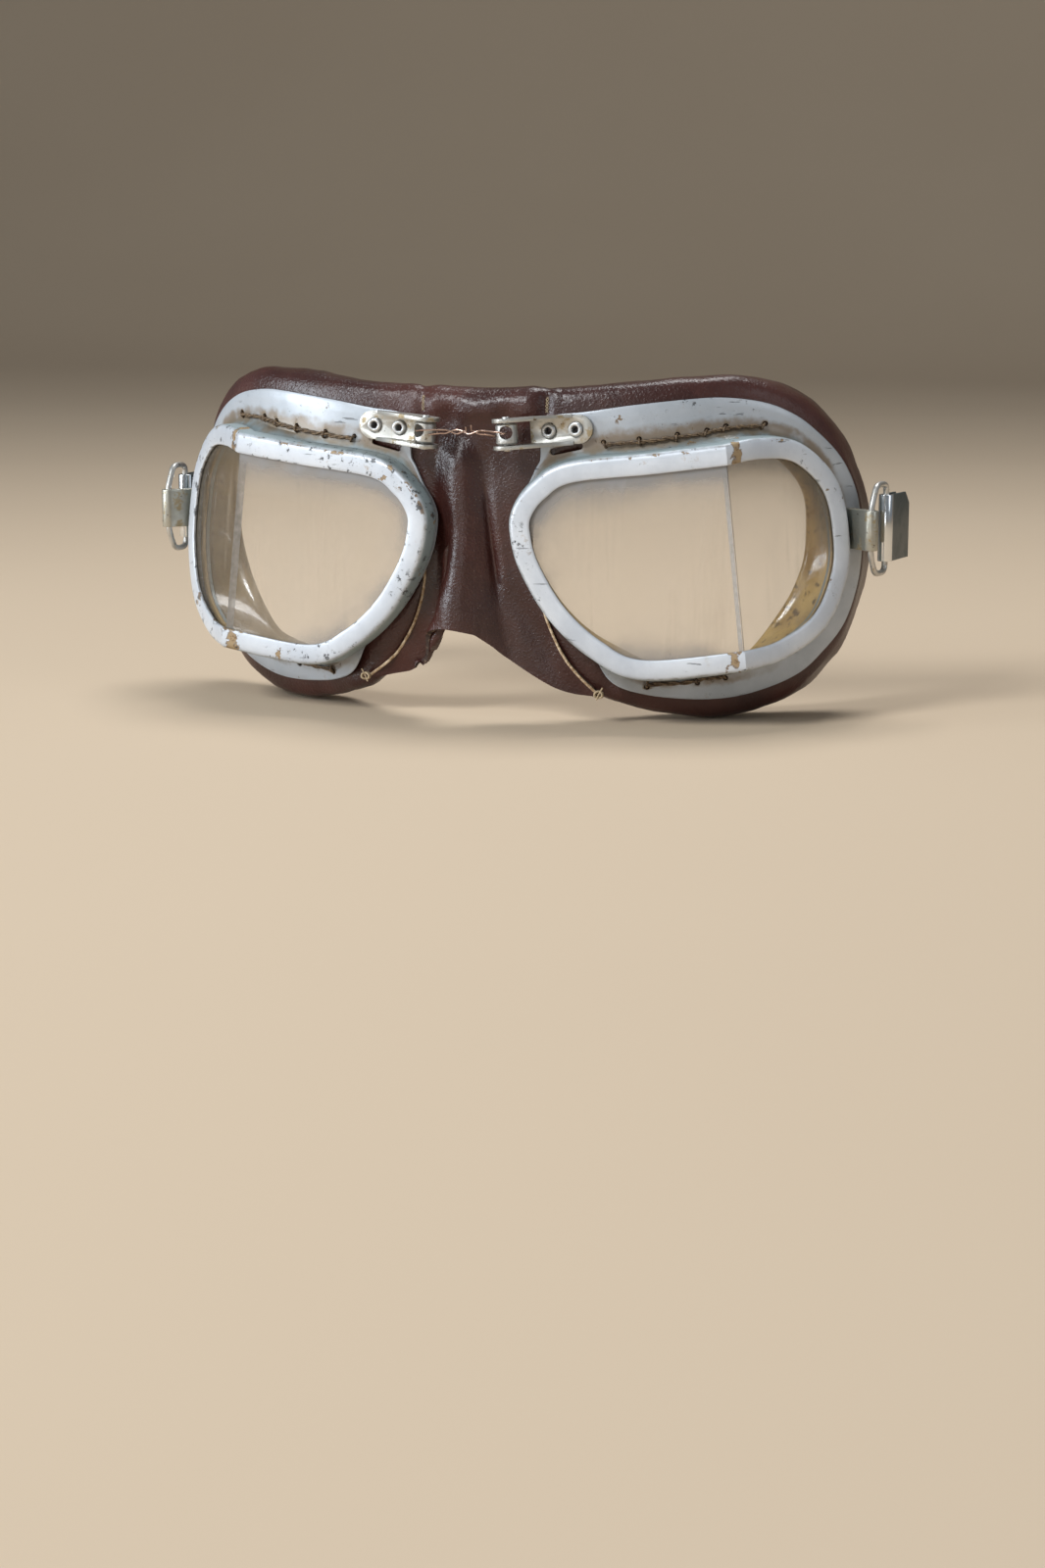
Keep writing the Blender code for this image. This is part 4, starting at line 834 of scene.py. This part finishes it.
for eye, side in SIDES.items():
    amber = two_toned(f"gasket_{eye}", 900, 3.0, ((0.30, 0.19, 0.07), (0.62, 0.44, 0.19)), 0.5, 0.0001)
    coat(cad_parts[f"lens_seal_{eye}"], amber)
    rings = []
    for i in ROUND:
        away = WAYS[i]
        flat = front_view(BACK_FEET[i]) - away * 2 * GAP
        depth = pad_depth(flat.x)
        roll = ROLL_LEAST + ROLL_MORE * eased((flat.x - ROLL_START) / ROLL_RUN)
        outer = [
            off_edge(i, COLLAR_OUTER - WALL - GAP, COLLAR_FRONT + WALL + GAP),
            off_edge(i, COLLAR_OUTER - WALL - GAP, COLLAR_FRONT + 2 * WALL + 2 * GAP),
            on_face(flat - away * roll * 0.6, WALL + 2 * GAP),
            on_face(flat - away * roll, 0.26 * depth),
            on_face(flat - away * roll * 0.85, 0.46 * depth),
            on_face(flat - away * LINING_EDGE, 0.62 * depth),
        ]
        outer = curve_through(outer, (2, 5, 4, 4, 5))
        inner = []
        for k, place in enumerate(outer):
            along = outer[min(k + 1, len(outer) - 1)] - outer[max(k - 1, 0)]
            run = Vector((along.x * away.x + along.z * away.y, along.y)).normalized()
            inner.append(place + Vector((-away.x * run.y, run.x, -away.y * run.y)) * LINING_WALL)
        rings.append(outer + inner[::-1])
    tan = Finish(f"varnished_lining_{eye}", (0.2 * side, 0, 0))
    tone = tan.grain(90, 4.0).rise(0.3, 0.7)
    worn = tan.grain(420, 4.0).rise(0.56, 0.7)
    colour = tan.mix(worn, tan.mix(tone, *LINING_LIT_AND_SHADED_TONES[eye]), (0.13, 0.08, 0.03))
    tan.set(Base_Color=colour, Roughness=0.26 + tone * 0.12, Coat_Weight=0.8, Coat_Roughness=0.1)
    tan.relief(tan.grain(650, 4.0), 0.0002)
    lining = add_ring(f"lining_{eye}", rings, side, tan.material, angle=50)
    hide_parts(f"eye_lining_{eye}")
    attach(lining, EYE_BODY[eye])


# Lacing: two waxed threads laid up together, run along the gutter of the flange and tucked through
# its holes to hold the mask's leather behind.


def add_thread(name, points, radius, side, material):
    """A round thread or wire along points, closed at both ends."""
    line = bpy.data.curves.new(name, "CURVE")
    line.dimensions = "3D"
    line.bevel_depth, line.bevel_resolution, line.use_fill_caps = radius, 2, True
    run = line.splines.new("POLY")
    run.points.add(len(points) - 1)
    for point, place in zip(run.points, points):
        point.co = (*sided(place, side), 1)
    piece = bpy.data.objects.new(name, line)
    bpy.context.scene.collection.objects.link(piece)
    pick(piece)
    bpy.ops.object.convert(target="MESH")
    piece = named(name, material)
    face_outwards(piece, 60)
    return piece


STRAND, STRAND_LAY, STRAND_TURN = 0.0003, 0.00027, 0.85
LACE_STEPS, LACE_LIFT, LACE_LIFT_AT_HOLE, LACE_INWARD = 12, 0.00075, 0.0006, 0.0007
TUCK = (  # a stitch's spots: in from its hole, across and back
    (0, 0, 0.0007), (0, 0, -0.0002), (0.0003, 0.0001, -0.0009),
    (0.0009, 0.0001, -0.0012), (0.0014, 0, -0.0007), (0.0015, 0, -0.0001),
)
wax_tones = ((0.055, 0.032, 0.018), (0.22, 0.145, 0.075))
waxed = two_toned("waxed_thread", 1400, 3.0, wax_tones, 0.55, 0.00012, (0.35, 0.7), (1, 1, 2.5))
for eye, side in SIDES.items():
    for row, shares in LACE_HOLES.items():
        middle = []
        for k in range(LACE_STEPS * (len(shares) - 1) + 1):
            hole, step = divmod(k, LACE_STEPS)
            share = shares[hole]
            if step:
                share += (shares[hole + 1] - share) * step / LACE_STEPS
            flat = lace_place(share, row)
            inward = (EYE_MIDDLE - flat).normalized()
            sway = noise.noise(Vector((share * 9, 3.1 * side, len(shares)))) * 0.0003
            lift = LACE_LIFT if step else LACE_LIFT_AT_HOLE
            middle.append(on_face(flat + inward * (LACE_INWARD + sway), -lift))
        strands = []
        for strand in (0, 1):
            turned = []
            for k, place in enumerate(middle):
                turn = k * STRAND_TURN + math.pi * strand
                turned.append(place + Vector((0, math.cos(turn), math.sin(turn))) * STRAND_LAY)
            turned = curve_through(turned, 2)
            strands.append(add_thread("strand", turned, STRAND, side, waxed))
        for share in shares:
            hole = on_face(lace_place(share, row), 0)
            inward = Vector((EYE_MIDDLE.x - hole.x, 0, EYE_MIDDLE.y - hole.z)).normalized()
            tuck = [hole + inward * into + Vector((across, back, 0)) for into, across, back in TUCK]
            strands.append(add_thread("tuck", curve_through(tuck, 3), STRAND, side, waxed))
        lace = weld(f"lace_{row}_{eye}", strands)
        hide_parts(f"{row}_lacing_{eye}")
        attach(lace, EYE_BODY[eye])


# Bridge hinge: on each flange a channel bracket pressed from nickelled brass and held by two
# tubular rivets, whose ears hold a drilled barrel. The plating is dull, and brass shows on edges.


def fine_copy(node, name, bevel, *materials):
    """One of the frame's solids with its facets merged and its edges broken."""
    piece = bpy.data.objects.new(name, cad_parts[node].data.copy())
    bpy.context.scene.collection.objects.link(piece)
    with editing(piece):
        bpy.ops.mesh.remove_doubles(threshold=0.00001)
        bpy.ops.mesh.dissolve_limited(angle_limit=math.radians(1.5))
    named(name, *materials)
    if bevel:
        broken = piece.modifiers.new("edges", "BEVEL")
        broken.width, broken.segments, broken.limit_method = bevel, 2, "ANGLE"
        broken.angle_limit = math.radians(40)
        apply_all(piece)
    smooth(40)
    return piece


def old_nickel(name, shift, brass=0.5, tone=(0.50, 0.49, 0.455)):
    """Dull nickel plate, clouded and pitted, gone to brass and brown where it is rubbed."""
    plate = Finish(name, shift)
    cloud = plate.grain(240, 4.0).rise(0.35, 0.7)
    rubbed = plate.grain(330, 5.0, rough=0.65).rise(0.60 - 0.1 * brass, 0.70 - 0.1 * brass)
    pits = plate.pebble(1500).fall(0.02, 0.12) * plate.grain(300, 2.0).rise(0.5, 0.6)
    colour = plate.layered(
        plate.mix(cloud, tone, tuple(c * 0.78 for c in tone)),
        (rubbed * 0.8, (0.34, 0.25, 0.12)),
        (plate.grain(800, 4.0).rise(0.66, 0.72), (0.09, 0.07, 0.05)),
        (pits, (0.10, 0.085, 0.065)),
    )
    rough = 0.34 + cloud * 0.14 + rubbed * 0.15
    plate.set(Base_Color=colour, Metallic=0.85 - rubbed * 0.2, Roughness=rough)
    plate.relief(plate.grain(500, 3.0) * 0.4 - pits * 0.5 - rubbed * 0.15, 0.0001)
    return plate.material


RIVET_STEPS, RIVET_HEAD, RIVET_TAIL = 40, 0.0009, 0.0005
FRONT_ROLL = (  # radius and distance from under the head, both in millimetres
    (0.80, 0.1), (0.82, -0.2), (0.95, -0.4), (1.2, -0.48), (1.5, -0.42), (1.74, -0.2), (1.8, -0.02),
    (1.3, 0),
)
BACK_ROLL = ((1.3, -0.5), (1.8, -0.45), (1.7, 0), (0.80, 0))  # the same from the tail's end
for eye, side in SIDES.items():
    plating = old_nickel(f"bracket_nickel_{eye}", (0.5 * side, 0.1, 0), 0.55)
    bracket = fine_copy(f"bridge_bracket_{eye}", f"bracket_{eye}", 0.00014, plating)
    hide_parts(f"bridge_bracket_{eye}")
    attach(bracket, EYE_BODY[eye])
    plating = old_nickel(f"barrel_nickel_{eye}", (0.7 * side, 0.3, 0), 0.25, (0.60, 0.60, 0.58))
    barrel = fine_copy(f"hinge_barrel_{eye}", f"barrel_{eye}", 0.00012, plating)
    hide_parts(f"hinge_barrel_{eye}")
    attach(barrel, "bridge")
    for which, x in RIVETS.items():
        under = web_back(x) - RIVET_HEAD - GAP
        tail = web_back(x) + 4 * GAP + WALL + RIVET_TAIL
        section = [(r / 1000, under + y / 1000) for r, y in FRONT_ROLL]
        section += [(r / 1000, tail + y / 1000) for r, y in BACK_ROLL]
        rings = []
        for k in range(RIVET_STEPS):
            turn = math.tau * k / RIVET_STEPS
            rings.append([
                HINGE @ Vector((x + r * math.cos(turn), y, r * math.sin(turn) - RIVET_DROP))
                for r, y in section
            ])
        shift, tone = (x * 40 * side, 0, 0.2), (0.63, 0.64, 0.64)
        plating = old_nickel(f"{which}_rivet_nickel_{eye}", shift, 0.15, tone)
        rivet = add_ring(f"{which}_rivet_{eye}", rings, side, plating)
        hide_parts(f"{which}_bracket_rivet_{eye}")
        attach(rivet, EYE_BODY[eye])


# Bridge wire: one thin copper wire looped through both barrels and twisted between them.

copper = Finish("tarnished_copper")
patina = copper.grain(600, 3.0).rise(0.35, 0.7)
colour = copper.mix(patina, (0.60, 0.44, 0.37), (0.33, 0.22, 0.17))
copper.set(Base_Color=colour, Metallic=1.0, Roughness=0.3 + patina * 0.2)
coat(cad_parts["bridge_wire"], copper.material)


# Face pads: stuffed rolls of dark red-brown leather behind the flanges, drawn tight round each
# eye, full on the brow and cheek and thin beside the nose.

PAD_SHARES = (
    (0.150, 0.0), (0.152, 0.07), (0.176, 0.118), (0.28, 0.128), (0.46, 0.145), (0.65, 0.16),
    (0.755, 0.144), (0.84, 0.106), (0.905, 0.04), (0.95, -0.045), (0.975, -0.13), (0.993, -0.24),
    (0.996, -0.36), (0.988, -0.48), (0.965, -0.575), (0.925, -0.67), (0.845, -0.77), (0.72, -0.828),
    (0.615, -0.843), (0.49, -0.826), (0.42, -0.8), (0.33, -0.765), (0.265, -0.7), (0.215, -0.62),
    (0.178, -0.54), (0.156, -0.45), (0.146, -0.36), (0.143, -0.25), (0.145, -0.12),
)


def leather(name, side, dust=0.1):
    """Dark red-brown hide: fine pebbled grain, drawn creases, and dull dust that fades sideways."""
    hide = Finish(name, (0.9, 0, 0.2))
    dust = hide.along((side, 0, 0)).fall(0.009, 0.018) * (dust - 0.1) + 0.1
    fine = hide.pebble(1700, hide.warped(0.0012, 900), "SMOOTH_F1").rise(0.05, 0.6)
    skin = hide.grain(1000, 5.0, rough=0.6)
    pull = hide.grain(110, 4.0, hide.stretched((1, 1, 2.4)), rough=0.6, warp=0.6)
    cloud = hide.grain(45, 4.0).rise(0.32, 0.7)
    dusty = hide.grain(30, 3.0).rise(0.42, 0.66)
    specks = hide.pebble(1250).fall(0.05, 0.16) * hide.grain(60, 3.0).rise(0.46, 0.6)
    colour = hide.layered(
        hide.mix(cloud, (0.032, 0.009, 0.007), (0.066, 0.020, 0.0150)),
        (hide.grain(150, 5.0, rough=0.7).rise(0.58, 0.78) * 0.45, (0.085, 0.033, 0.025)),
        (specks * dust, (0.36, 0.31, 0.25)),
        (dusty * dust * 0.35, (0.05, 0.042, 0.036)),
    )
    hide.set(Base_Color=colour, Roughness=0.31 + cloud * 0.06 + dusty * dust * 0.2 + specks * 0.2)
    hide.set(Specular_IOR_Level=0.5, Coat_Weight=0.05, Coat_Roughness=0.25)
    hide.relief(skin * 0.55 - fine * 0.4 + pull.rise(0.25, 0.75) * 0.25, 0.00014)
    return hide.material


HIDE_ROOM, PUCKER = 0.0013, 0.0005
PAD_LINE = outline(PAD_SHARES, PAD_HEIGHT)
pads = {}
for eye, side in SIDES.items():
    rings = []
    for i in ROUND:
        inner, way, edge = front_view(BACK_FEET[i]), WAYS[i], FLANGE_EDGE[i]
        lip = (edge - inner).length
        under_hide = 1 - eased((foot_offset(i) - NASAL_FOOT) / (COLLAR_FOOT - NASAL_FOOT) * 3)
        bulge = reach_to(PAD_LINE, way) - (inner - EYE_MIDDLE).length
        bulge = max(bulge, lip * (1 - 0.3 * under_hide) + GAP)
        depth = pad_depth(edge.x)
        front = WALL + GAP + HIDE_ROOM * under_hide
        flat = min(lip, bulge)
        section = [  # out from the collar's foot, and share of the pad's depth
            (0.0012, 0), (flat * 0.55, 0), (flat * 0.95, 0), (lip * 0.35 + bulge * 0.65, 0.05),
            (bulge * 0.98, 0.2), (bulge, 0.42), (bulge * 0.97, 0.64), (bulge * 0.82, 0.86),
            (bulge * 0.58, 1), (bulge * 0.3, 0.97), (0.0011, 0.75), (0.0008, 0.4),
        ]
        section = [Vector((out, front + depth * share)) for out, share in section]
        ring = []
        for k, corner in enumerate(curve_through(section, 3, True)):
            place = on_face(inner + way * corner.x, max(corner.y, front))
            pucker = noise.noise(Vector((way.x * 5, way.y * 5 + side, k * 0.1)))
            pucker += 0.35 * noise.noise(Vector((way.x * 13, way.y * 13, k * 0.16 + 5 * side)))
            free = eased((corner.x - lip * 0.8) / 0.002) * eased((corner.y - front) / (depth * 0.2))
            ring.append(place + Vector((way.x, 0.3, way.y)) * pucker * PUCKER * free)
        rings.append(ring)
    pad = add_ring(f"pad_{eye}", rings, side, leather(f"pad_leather_{eye}", side), angle=70)
    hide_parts(f"face_pad_{eye}")
    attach(pad, EYE_BODY[eye])
    pads[eye] = pad


# Nose leather: one hide laid from brow to nostrils over both pads, rolled over a soft cord along
# the brow, creased beside the ridge and cut in an arch below. It is made in two halves that meet
# on the ridge.

BROW_AND_RIDGE = (  # back and height down the middle, in millimetres
    (16.5, 2.0), (17.4, 5.5), (15.6, 8.6), (12.0, 9.9), (8.8, 9.2), (6.9, 7.0), (6.6, 4.4), (7.5, 1.2),
    (7.7, -4.0), (7.2, -12.0), (6.8, -22.0), (6.5, -32.0), (6.4, -41.0), (6.7, -49.3),
)
HIDE_SIDE = (  # across, back and height of the sides, in millimetres, down to the nose
    (22.5, 15.8, 2.0), (22.5, 16.6, 5.5), (22.5, 15.4, 8.8), (22.5, 12.4, 10.6), (22.5, 9.5, 10.2),
    (22.5, 8.3, 8.0), (22.3, 8.15, 5.0), (21.8, 8.1, 1.0), (19.6, 8.05, -5.0),
)
HIDE_EDGES = {
    "left": HIDE_SIDE + (
        (15.8, 8.1, -14.5), (13.8, 8.4, -28.0), (16.8, 9.2, -43.4), (22.3, 10.0, -55.4),
        (30.4, 11.2, -63.8),
    ),
    "right": HIDE_SIDE + (
        (15.6, 8.1, -14.5), (13.2, 8.4, -28.0), (14.5, 9.4, -42.0), (20.6, 10.6, -54.4),
        (29.6, 11.4, -62.0),
    ),
}
ARCH = {  # the cut edge from the ridge to the corner
    "left": (
        (0.0, 6.7, -49.3), (4.6, 7.6, -52.6), (9.3, 9.2, -56.3), (14.3, 10.4, -59.6), (19.4, 11.2, -62.2),
        (24.6, 11.5, -63.7), (30.4, 11.2, -63.8),
    ),
    "right": (
        (0.0, 6.7, -49.3), (5.5, 6.5, -48.2), (10.0, 7.4, -48.8), (13.0, 9.2, -51.4), (14.6, 11.4, -56.2),
        (18.6, 12.4, -59.8), (29.6, 11.4, -62.0),
    ),
}
ARCH_LINES = {eye: curve_through([Vector(p) for p in spots], 8) for eye, spots in ARCH.items()}
ROWS, COLUMNS = 13 * 9, 72
DARTS = {"left": 17.4, "right": 13.4}


def bell(gap, width):
    return math.exp(-((gap / width) ** 2))


def dart_pull(x, z, dart, width=1.6):
    """How hard the stitched dart beside the nose draws the roll in, from 0 to 1; millimetres."""
    fade = 1 - 0.6 * eased((z - 8.0) / 2.2)
    return bell(abs(x) - dart, width) * eased((z - 0.5) / 4) * fade


def hide_place(u, v, eye):
    """A spot on the hide in millimetres: u from ridge to side, v from the brow's back to the arch."""
    rows = len(BROW_AND_RIDGE) - 1
    k = min(int(v * rows), rows - 1)
    near = [min(max(k + j, 0), rows) for j in (-1, 0, 1, 2)]

    def down_the(table):
        return curve_between(*(Vector(table[j]) for j in near), v * rows - k)

    def spread(ridge, edge, power):
        back = ridge.x + (edge.y - ridge.x) * u**power
        return Vector((edge.x * u, back, ridge.y + (edge.z - ridge.y) * u**1.5))

    below = eased((v - 0.5) / 0.15)
    place = spread(down_the(BROW_AND_RIDGE), down_the(HIDE_EDGES[eye]), 2.0 - 0.3 * below)
    arch = ARCH_LINES[eye]
    spot = u * (len(arch) - 1)
    first = min(int(spot), len(arch) - 2)
    cut = arch[first].lerp(arch[first + 1], spot - first)
    plain = spread(Vector(BROW_AND_RIDGE[-1]), Vector(HIDE_EDGES[eye][-1]), 1.7)
    return place + (cut - plain) * eased((v - 0.62) / 0.38)


def dent(place, centre, across, down, depth):
    gap = ((place.x - centre[0]) / across) ** 2 + ((place.z - centre[1]) / down) ** 2
    return depth * math.exp(-gap)


def hide_sculpt(place):
    """How far the hide stands out from its plain shape, in millimetres: puckers, dimples, creases."""
    x, z = place.x, place.z
    out = 0.0
    # the two stitched darts over the brackets, with the leather gathered up beside them
    dart = DARTS["left"] if x > 0 else DARTS["right"]
    out -= 0.6 * dart_pull(x, z, dart)
    for beside in (-3.4, 3.4):
        out += 0.25 * bell(abs(x) - dart - beside, 2.2) * eased((z - 2) / 4)
    # the dimples that the wire and the brackets press between the brow and the ridge
    out += dent(place, (-6.6, 3.6), 2.6, 3.2, -0.9) + dent(place, (7.4, 3.4), 2.8, 3.2, -0.85)
    out += dent(place, (0.6, 4.6), 3.2, 2.6, 0.35)
    # the standing ridge, the valley beside it and the slit-like crease down the valley
    down = eased((-1 - z) / 7)
    flare = eased((-33 - z) / 14)
    out += (1.9 + 0.6 * flare) * bell(x + 4.0 + 1.4 * flare, 4.0 + 2.2 * flare) * down
    middle = 2.4 + (-16 - z) * 0.13
    out -= 0.9 * bell(x - middle, 2.6) * down * (1 - 0.6 * flare)
    slit = eased((-12 - z) / 6) * eased((z + 43) / 8)
    out += (0.3 * bell(x - middle - 2.4, 1.2) - 0.8 * bell(x - middle, 0.75)) * slit
    out -= 0.5 * bell(x + 10.4, 1.6) * down * (1 - flare)
    # slack folds towards the corners
    lower = eased((-36 - z) / 12)
    out += 0.35 * math.sin((x * 0.9 + z * 0.55) * 0.62) * lower * eased((abs(x) - 5) / 6)
    out += 0.4 * noise.noise(Vector((x * 0.11, z * 0.09, 2.0)))
    out += 0.06 * noise.noise(Vector((x * 0.42, z * 0.22, 7.0)))
    out += 0.03 * noise.noise(Vector((x * 1.1, z * 0.6, 4.0)))
    return out


HIDE_THICK, HIDE_STAND, HIDE_PRESS = 0.0012, 0.00022, 0.00047
LAID_START, LAID_RUN, PRESS_START, PRESS_RUN = 0.0118, 0.007, 0.0175, 0.005
DART_SINK, DART_DENT, DENT_WIDTH = 0.001, 0.002, 2.1
HIDE_DUST = {"left": 0.5, "right": 0.25}
pale_tones = ((0.30, 0.19, 0.10), (0.66, 0.52, 0.36))
dark_tones = ((0.035, 0.018, 0.012), (0.20, 0.13, 0.08))
suede = two_toned("cut_edge_pale", 1100, 4.0, pale_tones, 0.85, 0.0002, (0.35, 0.7))
dark_cut = two_toned("cut_edge_dark", 900, 4.0, dark_tones, 0.8, 0.0002, (0.5, 0.75))
hides = {}
for eye, side in SIDES.items():
    bpy.ops.mesh.primitive_grid_add(x_subdivisions=COLUMNS, y_subdivisions=ROWS, size=1)
    skin = leather(f"nose_hide_{eye}", side, HIDE_DUST[eye])
    hide = named(f"nose_leather_{eye}", skin, dark_cut)
    places = []
    for vertex in hide.data.vertices:
        places.append(sided(hide_place(vertex.co.x + 0.5, 0.5 - vertex.co.y, eye), side))
        vertex.co = places[-1] / 1000
    face_outwards(hide, 60)
    if sum(p.normal.y for p in hide.data.polygons) > 0:
        flip(hide)
    ways = [v.normal.copy() for v in hide.data.vertices]
    for vertex, place, way in zip(hide.data.vertices, places, ways):
        if abs(place.x) < 1e-6:
            way = Vector((0, way.y, way.z)).normalized()
        vertex.co = (place + way * hide_sculpt(place)) / 1000
        outer = abs(place.x) / 1000
        laid = eased((outer - LAID_START) / LAID_RUN) * eased((place.z + 9) / 5)
        if laid > 0:
            _, rest, lift, _ = pads[eye].closest_point_on_mesh(vertex.co)
            low = DART_SINK * dart_pull(place.x, place.z, DARTS[eye])
            pressed = HIDE_PRESS * eased((outer - PRESS_START) / PRESS_RUN)
            rest += lift * (HIDE_STAND - pressed - low)
            vertex.co = vertex.co.lerp(rest, laid)
    thick = hide.modifiers.new("thickness", "SOLIDIFY")
    thick.thickness, thick.offset, thick.material_offset_rim = HIDE_THICK, -1, 1
    apply_all(hide)
    for vertex in pads[eye].data.vertices:
        spot = vertex.co * 1000
        under = dart_pull(spot.x, spot.z, DARTS[eye], DENT_WIDTH)
        vertex.co -= vertex.normal * DART_DENT * under * eased((spot.z - 1) / 3)
    smooth(60)
    if eye == "left":
        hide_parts("nose_bridge")
    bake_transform(hide)
    hides[eye] = hide


# Raw edges and knots: the hide's cut side edges curl up pale over the pads, and a knot of beige
# thread ties each lower corner to its pad. Ends of the same thread show in the darts.

RAW_EDGE, KNOT_THREAD, TAIL_THREAD, DART_THREAD = 0.00036, 0.00026, 0.0002, 0.0001
RAW_STEPS = 40
STITCH_LOW, STITCH_STEP, STITCH_STAND = 0.0043, 0.00026, 0.00008
beige_tones = ((0.22, 0.15, 0.08), (0.58, 0.46, 0.30))
beige = two_toned("beige_thread", 1600, 3.0, beige_tones, 0.8, 0.00015)
for eye, side in SIDES.items():
    line = []
    for k in range(RAW_STEPS + 1):
        place = hide_place(1.0, (9.9 + 3.1 * k / RAW_STEPS) / 13, eye)
        line.append((place + Vector((0.1, -0.15 + 0.1 * math.sin(k * 0.7), 0))) / 1000)
    edge = add_thread(f"raw_edge_{eye}", line, RAW_EDGE, side, suede)
    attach(edge, EYE_BODY[eye])
    corner = hide_place(1.0, 1.0, eye) / 1000 + Vector((0.0, -0.0006, 0.0006))
    knots = []
    for turn in range(3):
        loop = []
        for k in range(15):
            way = math.tau * k / 12 + turn * 1.1
            back = 0.0005 * math.sin(way * 1.5 + turn) - 0.0004
            loop.append(corner + Vector((0.0010 * math.cos(way), back, 0.0008 * math.sin(way))))
        knots.append(add_thread("turn", loop, KNOT_THREAD, side, beige))
    for way, drop in ((0.9, 0.0016), (-0.5, -0.0012)):
        tail = [corner + Vector((way * 0.001 * t, -0.0006, drop * t)) for t in (0, 0.4, 0.8, 1.1)]
        knots.append(add_thread("tail", tail, TAIL_THREAD, side, beige))
    knot = weld(f"corner_knot_{eye}", knots)
    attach(knot, EYE_BODY[eye])
    stitches = []
    for row in (-0.00016, 0.0002):
        run = []
        for k in range(15):
            across = DARTS[eye] / 1000 + row + 0.00014 * math.sin(k * 2.1 + row * 9000)
            aim = Vector((across * side, -0.02, STITCH_LOW + STITCH_STEP * k))
            rest = sided(hides[eye].ray_cast(aim, (0, 1, 0))[1], side)
            rest.y -= STITCH_STAND * (1 + math.sin(k * 1.3))
            run.append(rest)
        stitches.append(add_thread("stitch", run, DART_THREAD, side, beige))
    stitch = weld(f"dart_stitches_{eye}", stitches)
    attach(stitch, EYE_BODY[eye])


# Strap fittings: a brass lug rolled round the loop's short bar on each temple, a bent wire loop and
# a chromed clasp that is folded round the long bar and grips the strap's end.

CLASP_BEND, CLASP_FLAT = 0.0012, 0.0018
for eye, side in SIDES.items():
    brass = old_nickel(f"lug_brass_{eye}", (0.2, 0.6 * side, 0), 0.7, (0.47, 0.46, 0.40))
    lug = fine_copy(f"strap_lug_{eye}", f"lug_{eye}", 0.00012, brass)
    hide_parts(f"strap_lug_{eye}")
    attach(lug, EYE_BODY[eye])
    plating = old_nickel(f"loop_nickel_{eye}", (0.1, 0.9 * side, 0), 0.35, (0.62, 0.61, 0.58))
    loop = fine_copy(f"strap_loop_{eye}", f"loop_{eye}", 0, plating)
    round_off = loop.modifiers.new("round", "SUBSURF")
    round_off.levels = round_off.render_levels = 2
    apply_all(loop)
    bpy.ops.object.shade_smooth()
    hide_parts(f"strap_loop_{eye}")
    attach(loop, f"{eye}_strap_loop")
    bright = Finish(f"chrome_{eye}", (0, 0.3 * side, 0))
    spots = bright.pebble(700).fall(0.03, 0.14) * bright.grain(120, 2.0).rise(0.45, 0.6)
    dull = bright.grain(160, 4.0).rise(0.4, 0.7)
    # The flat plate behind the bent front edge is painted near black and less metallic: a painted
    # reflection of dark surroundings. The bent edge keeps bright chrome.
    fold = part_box(f"strap_clasp_{eye}")[0].y
    plate = bright.along((0, 1, 0)).rise(fold + CLASP_BEND, fold + CLASP_FLAT)
    colour = bright.mix(plate, (0.80, 0.82, 0.83), (0.06, 0.08, 0.085))
    bright.set(
        Base_Color=bright.mix(spots, colour, (0.10, 0.08, 0.06)),
        Metallic=(1 - plate * 0.85) * (1 - spots * 0.5),
        Roughness=0.10 + dull * 0.14 + spots * 0.3 + plate * 0.24,
        Specular_IOR_Level=0.3,
    )
    bright.relief(bright.grain(200, 2.0) * 0.5, 0.00005)
    clasp = fine_copy(f"strap_clasp_{eye}", f"clasp_{eye}", 0.00015, bright.material)
    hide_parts(f"strap_clasp_{eye}")
    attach(clasp, f"{eye}_strap_clasp")
